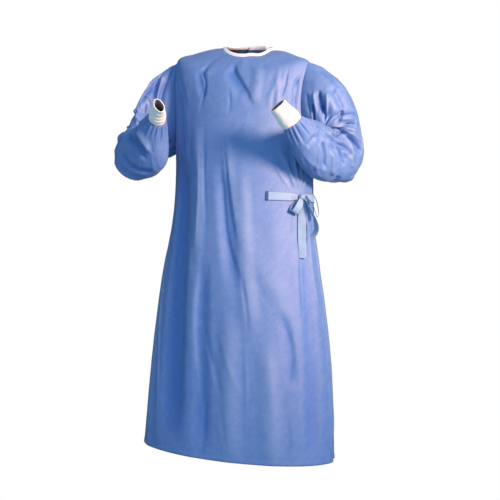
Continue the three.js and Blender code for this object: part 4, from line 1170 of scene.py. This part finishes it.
def new_material(name, roughness, sheen, specular, coat=0.0):
    material = bpy.data.materials.new(name)
    material.use_nodes = True
    tree = material.node_tree
    shader = tree.nodes["Principled BSDF"]
    for socket, value in {"Roughness": roughness, "Sheen Weight": sheen, "Sheen Roughness": 0.5,
                          "Specular IOR Level": specular, "Coat Weight": coat,
                          "Coat Roughness": 0.75}.items():
        shader.inputs[socket].default_value = value
    uv = node(tree, "ShaderNodeUVMap", uv_map="cloth")
    return material, tree, shader, uv.outputs[0]


def shade(tree, shader, share, colours, height, strength, distance, ends=(0.0, 1.0)):
    """Colour between two by share, with a bump by height."""
    ramp = node(tree, "ShaderNodeValToRGB")
    for stop, place, colour in zip(ramp.color_ramp.elements, ends, colours):
        stop.position = place
        stop.color = (*colour, 1)
    tree.links.new(share, ramp.inputs["Fac"])
    tree.links.new(ramp.outputs["Color"], shader.inputs["Base Color"])
    bump = node(tree, "ShaderNodeBump", Strength=strength, Distance=distance)
    tree.links.new(height, bump.inputs["Height"])
    tree.links.new(bump.outputs["Normal"], shader.inputs["Normal"])


def new_group(name, inputs, outputs):
    group = bpy.data.node_groups.new(name, "ShaderNodeTree")
    for way, sockets in (("INPUT", inputs), ("OUTPUT", outputs)):
        for socket, kind in sockets:
            group.interface.new_socket(socket, in_out=way, socket_type=kind)
    return group, group.nodes.new("NodeGroupInput"), group.nodes.new("NodeGroupOutput")


def fibre_group():
    """Web of fine fibres pressed flat: drawn-out threads, cloudy patches and bonded points."""
    value = "NodeSocketFloat"
    group, given, made = new_group(
        "pressed fibres", [("Along", "NodeSocketVector"), ("Thread", value), ("Point", value)],
        [("Threads", value), ("Clouds", value), ("Points", value), ("Relief", value)])
    links = group.links
    along = given.outputs["Along"]
    drawn = node(group, "ShaderNodeMapping", Scale=(1.0, THREAD_STRETCH, 1.0))
    links.new(along, drawn.inputs["Vector"])
    threads = node(group, "ShaderNodeTexNoise", Detail=4.0, Roughness=0.62, Distortion=0.4)
    links.new(drawn.outputs[0], threads.inputs["Vector"])
    links.new(given.outputs["Thread"], threads.inputs["Scale"])
    clouds = node(group, "ShaderNodeTexNoise", Scale=CLOUD_SCALE, Detail=5.0, Roughness=0.6)
    links.new(along, clouds.inputs["Vector"])
    split = node(group, "ShaderNodeSeparateXYZ")
    links.new(along, split.inputs[0])
    waves = [wave_node(group, split.outputs[axis], given.outputs["Point"]) for axis in ("X", "Y")]
    product = math_node(group, "MULTIPLY", *waves)
    points = math_node(group, "SMOOTH_MIN", math_node(group, "MULTIPLY", product, 1.6), 0.8)
    relief = weighted(group, (threads.outputs["Fac"], 0.7), (points, -0.3))
    for name, output in (("Threads", threads.outputs["Fac"]), ("Clouds", clouds.outputs["Fac"]),
                         ("Points", points), ("Relief", relief)):
        links.new(output, made.inputs[name])
    return group


def fibre_web(tree, uv, thread, point_length):
    web = node(tree, "ShaderNodeGroup", node_tree=FIBRES)
    web.inputs["Thread"].default_value = thread
    web.inputs["Point"].default_value = per_length(point_length)
    tree.links.new(uv, web.inputs["Along"])
    return web.outputs


def cloth_material(name, light, deep, roughness, sheen, relief, specular=0.5, coat=0.0):
    """Blue non-woven: its colour drifts between light and deep with the web's threads and clouds, and
    with the fold lift, as painted shade in the valleys and painted light on the ridges.
    """
    material, tree, shader, uv = new_material(name, roughness, sheen, specular, coat)
    web = fibre_web(tree, uv, CLOTH_THREADS, CLOTH_POINTS)
    # Painted shade and light: the fold lift from the mesh darkens the colour in the valleys and lightens
    # it on the ridges
    fold_shade_paint = node(tree, "ShaderNodeAttribute", attribute_name="relief")
    share = weighted(tree, (web["Threads"], 0.75), (web["Clouds"], 0.45), (web["Points"], -0.06),
                     (fold_shade_paint.outputs["Fac"], 0.2))
    shade(tree, shader, share, (deep, light), web["Relief"], relief, CLOTH_BUMP, (0.35, 0.85))
    return material


def knit_material(name, dark, pale):
    """Cotton rib: small loops along each rib; its colour follows the loops' height, darker in their dips
    as painted shade, mottled by the fuzz.
    """
    material, tree, shader, uv = new_material(name, 0.9, 0.35, 0.3)
    split = node(tree, "ShaderNodeSeparateXYZ")
    tree.links.new(uv, split.inputs[0])
    loops = wave_node(tree, split.outputs["Y"], per_length(KNIT_ROW))
    across = math_node(tree, "MULTIPLY", split.outputs["X"], per_length(KNIT_LOOP))
    slant = math_node(tree, "SINE", math_node(tree, "ADD", across, loops))
    fuzz = node(tree, "ShaderNodeTexNoise", Scale=FUZZ_SCALE, Detail=3.0, Roughness=0.7)
    tree.links.new(uv, fuzz.inputs["Vector"])
    height = math_node(tree, "ADD", math_node(tree, "MULTIPLY", slant, 0.5), fuzz.outputs["Fac"])
    # Colour by height: painted shade in the loops' dips, with the fuzz as random mottling
    shade(tree, shader, height, (dark, pale), height, 0.5, KNIT_BUMP)
    return material


def tape_material():
    """White folded tape with a row of stitches near its lower edge."""
    material, tree, shader, uv = new_material("white tape", 0.75, 0.25, 0.4)
    web = fibre_web(tree, uv, TAPE_THREADS, TAPE_POINTS)
    split = node(tree, "ShaderNodeSeparateXYZ")
    tree.links.new(uv, split.inputs[0])
    dashes = wave_node(tree, split.outputs["X"], per_length(STITCH_LENGTH * MM))
    line = math_node(tree, "ABSOLUTE", math_node(tree, "ADD", split.outputs["Y"], TAPE_STITCHES))
    line = math_node(tree, "LESS_THAN", line, TAPE_STITCH_HALF)
    stitch = math_node(tree, "MULTIPLY", line, math_node(tree, "GREATER_THAN", dashes, -0.3))
    height = math_node(tree, "ADD", web["Relief"], stitch)
    shade(tree, shader, web["Clouds"], (TAPE_DARK, TAPE_PALE), height, 0.5, KNIT_BUMP)
    return material


# Studio

def camera():
    made = bpy.data.objects.new("camera", bpy.data.cameras.new("camera"))
    bpy.context.collection.objects.link(made)
    made.data.lens = LENS
    made.data.sensor_width = SENSOR
    made.data.shift_x, made.data.shift_y = SHIFT
    place = VIEW_RIGHT * VIEW_ASIDE + VIEW_NEAR * VIEW_DISTANCE - UP * VIEW_DROP
    right = VIEW_RIGHT * math.cos(VIEW_ROLL) + UP * math.sin(VIEW_ROLL)
    above = UP * math.cos(VIEW_ROLL) - VIEW_RIGHT * math.sin(VIEW_ROLL)
    columns = Matrix((right, above, VIEW_NEAR)).transposed().to_4x4()
    made.matrix_world = Matrix.Translation(Vector(place)) @ columns
    bpy.context.scene.camera = made


def lamp(name, place, size, power, colour, target, spread):
    light = bpy.data.lights.new(name, "AREA")
    light.shape = "DISK"
    light.size = size
    light.energy = power
    light.color = colour
    light.spread = math.radians(spread)
    made = bpy.data.objects.new(name, light)
    bpy.context.collection.objects.link(made)
    made.location = np.array(place) @ VIEW_AXES
    made.rotation_euler = (made.location - Vector(target)).to_track_quat("Z", "Y").to_euler()


def studio():
    """A warm lamp from the right and bluish surroundings, in front of plain white."""
    lamp("key", **KEY)
    lamp("rim", **RIM)
    world = bpy.data.worlds.new("studio")
    bpy.context.scene.world = world
    world.use_nodes = True
    tree = world.node_tree
    background = tree.nodes["Background"]
    background.inputs["Color"].default_value = (*WORLD_COLOUR, 1)
    seen = node(tree, "ShaderNodeLightPath")
    way = node(tree, "ShaderNodeTexCoord")
    facing = node(tree, "ShaderNodeVectorMath", operation="DOT_PRODUCT")
    tree.links.new(way.outputs["Generated"], facing.inputs[0])
    facing.inputs[1].default_value = unit(np.array(WORLD_SIDE) @ VIEW_AXES)
    one_sided = math_node(tree, "MULTIPLY", facing.outputs["Value"], WORLD_ONE_SIDED)
    uneven = math_node(tree, "ADD", one_sided, WORLD_EVEN)
    soft = math_node(tree, "MULTIPLY", seen.outputs["Is Diffuse Ray"], WORLD_STRENGTH)
    soft = math_node(tree, "MULTIPLY", soft, uneven)
    dim = math_node(tree, "MULTIPLY", seen.outputs["Is Glossy Ray"], WORLD_GLOSS)
    tree.links.new(math_node(tree, "ADD", soft, dim), background.inputs["Strength"])
    white = node(tree, "ShaderNodeBackground", Strength=1.0, Color=(1, 1, 1, 1))
    mixed = node(tree, "ShaderNodeMixShader")
    tree.links.new(seen.outputs["Is Camera Ray"], mixed.inputs[0])
    tree.links.new(background.outputs[0], mixed.inputs[1])
    tree.links.new(white.outputs[0], mixed.inputs[2])
    tree.links.new(mixed.outputs[0], tree.nodes["World Output"].inputs["Surface"])
    bpy.context.scene.view_settings.view_transform = "Standard"


# Cloths: light and deep colour, roughness, sheen, bump, specular and coat
FIBRES = fibre_group()
nonwoven = cloth_material(
    "blue non-woven", (0.085, 0.18, 0.43), (0.002, 0.1, 0.44), 0.68, 0.05, 0.6, 1.0, 1.0)
# Inner faces of the gown: the same blue made darker, as painted shade for the inside that light hardly
# reaches
nonwoven_shaded_inside = cloth_material(
    "non-woven inside in painted shade", (0.03, 0.08, 0.22), (0.01, 0.04, 0.14), 0.8, 0.0, 0.6)
belt_cloth = cloth_material(
    "pale non-woven", (0.2, 0.32, 0.5), (0.12, 0.22, 0.42), 0.65, 0.05, 0.5)
# Belt tack: darker blue as painted shade where the belt's folded end lies in shadow
painted_shade_cloth = cloth_material(
    "non-woven in painted shade", (0.02, 0.06, 0.24), (0.01, 0.04, 0.17), 0.7, 0.0, 0.6)
knit = knit_material("white knit", (0.5, 0.47, 0.47), (0.76, 0.73, 0.73))
# Inner faces of the cuffs: the white knit made dark grey, as painted shade inside the sleeves
knit_shaded_inside = knit_material("knit inside in painted shade", (0.1, 0.11, 0.14), (0.2, 0.21, 0.25))
tape = tape_material()

camera()
studio()

panel("body_front", 180, lambda rows: -front_seam(rows), front_seam, body_point,
      seams=(0, -1), flip=False)
panel("body_back_left", 116, back_seam, under_edge, under_body,
      seams=(0,), flip=False)
panel("body_back_right", 148, lambda rows: -back_seam(rows), over_edge, over_body,
      seams=(0,), flip=True)
for arm in ("left", "right"):
    sleeve(arm)
for arm in ("left", "right"):
    cuff(arm)
binding()
neck_patch()

belt_run("belt_front", BELT_FRONT_TURNS, from_knot((-KNOT_REACH, 0, 0), VIEW_AXES),
         [belt_tack(), belt_knot()])
back_meets = (BELT_BACK_MEETS[0] * KNOT_REACH, BELT_BACK_MEETS[1] * KNOT_REACH, 0)
belt_run("belt_back", BELT_BACK_TURNS, from_knot(back_meets, GOWN_AXES))
loop_across = KNOT_ALONG * (1 - FRONT_LEAN) - UP * FRONT_LEAN
tail_across = KNOT_ALONG * (1 - FRONT_LEAN) + KNOT_NORMAL * FRONT_LEAN
side_turn = SHORT_TAIL_TURN * (VIEW_RIGHT - VIEW_NEAR)
ribbon("bow_loop_front", LOOP_FRONT, GOWN_AXES, lambda t: loop_across + 0 * t, 0.8)
ribbon("bow_loop_side", LOOP_SIDE, VIEW_AXES, lambda t: VIEW_NEAR + 0 * t, 0.6)
ribbon("belt_tail_long", TAIL_LONG, GOWN_AXES, lambda t: tail_across + 0 * t, 0.8)
ribbon("belt_tail_short", TAIL_SHORT, VIEW_AXES, lambda t: VIEW_NEAR + side_turn * t, 0.6)
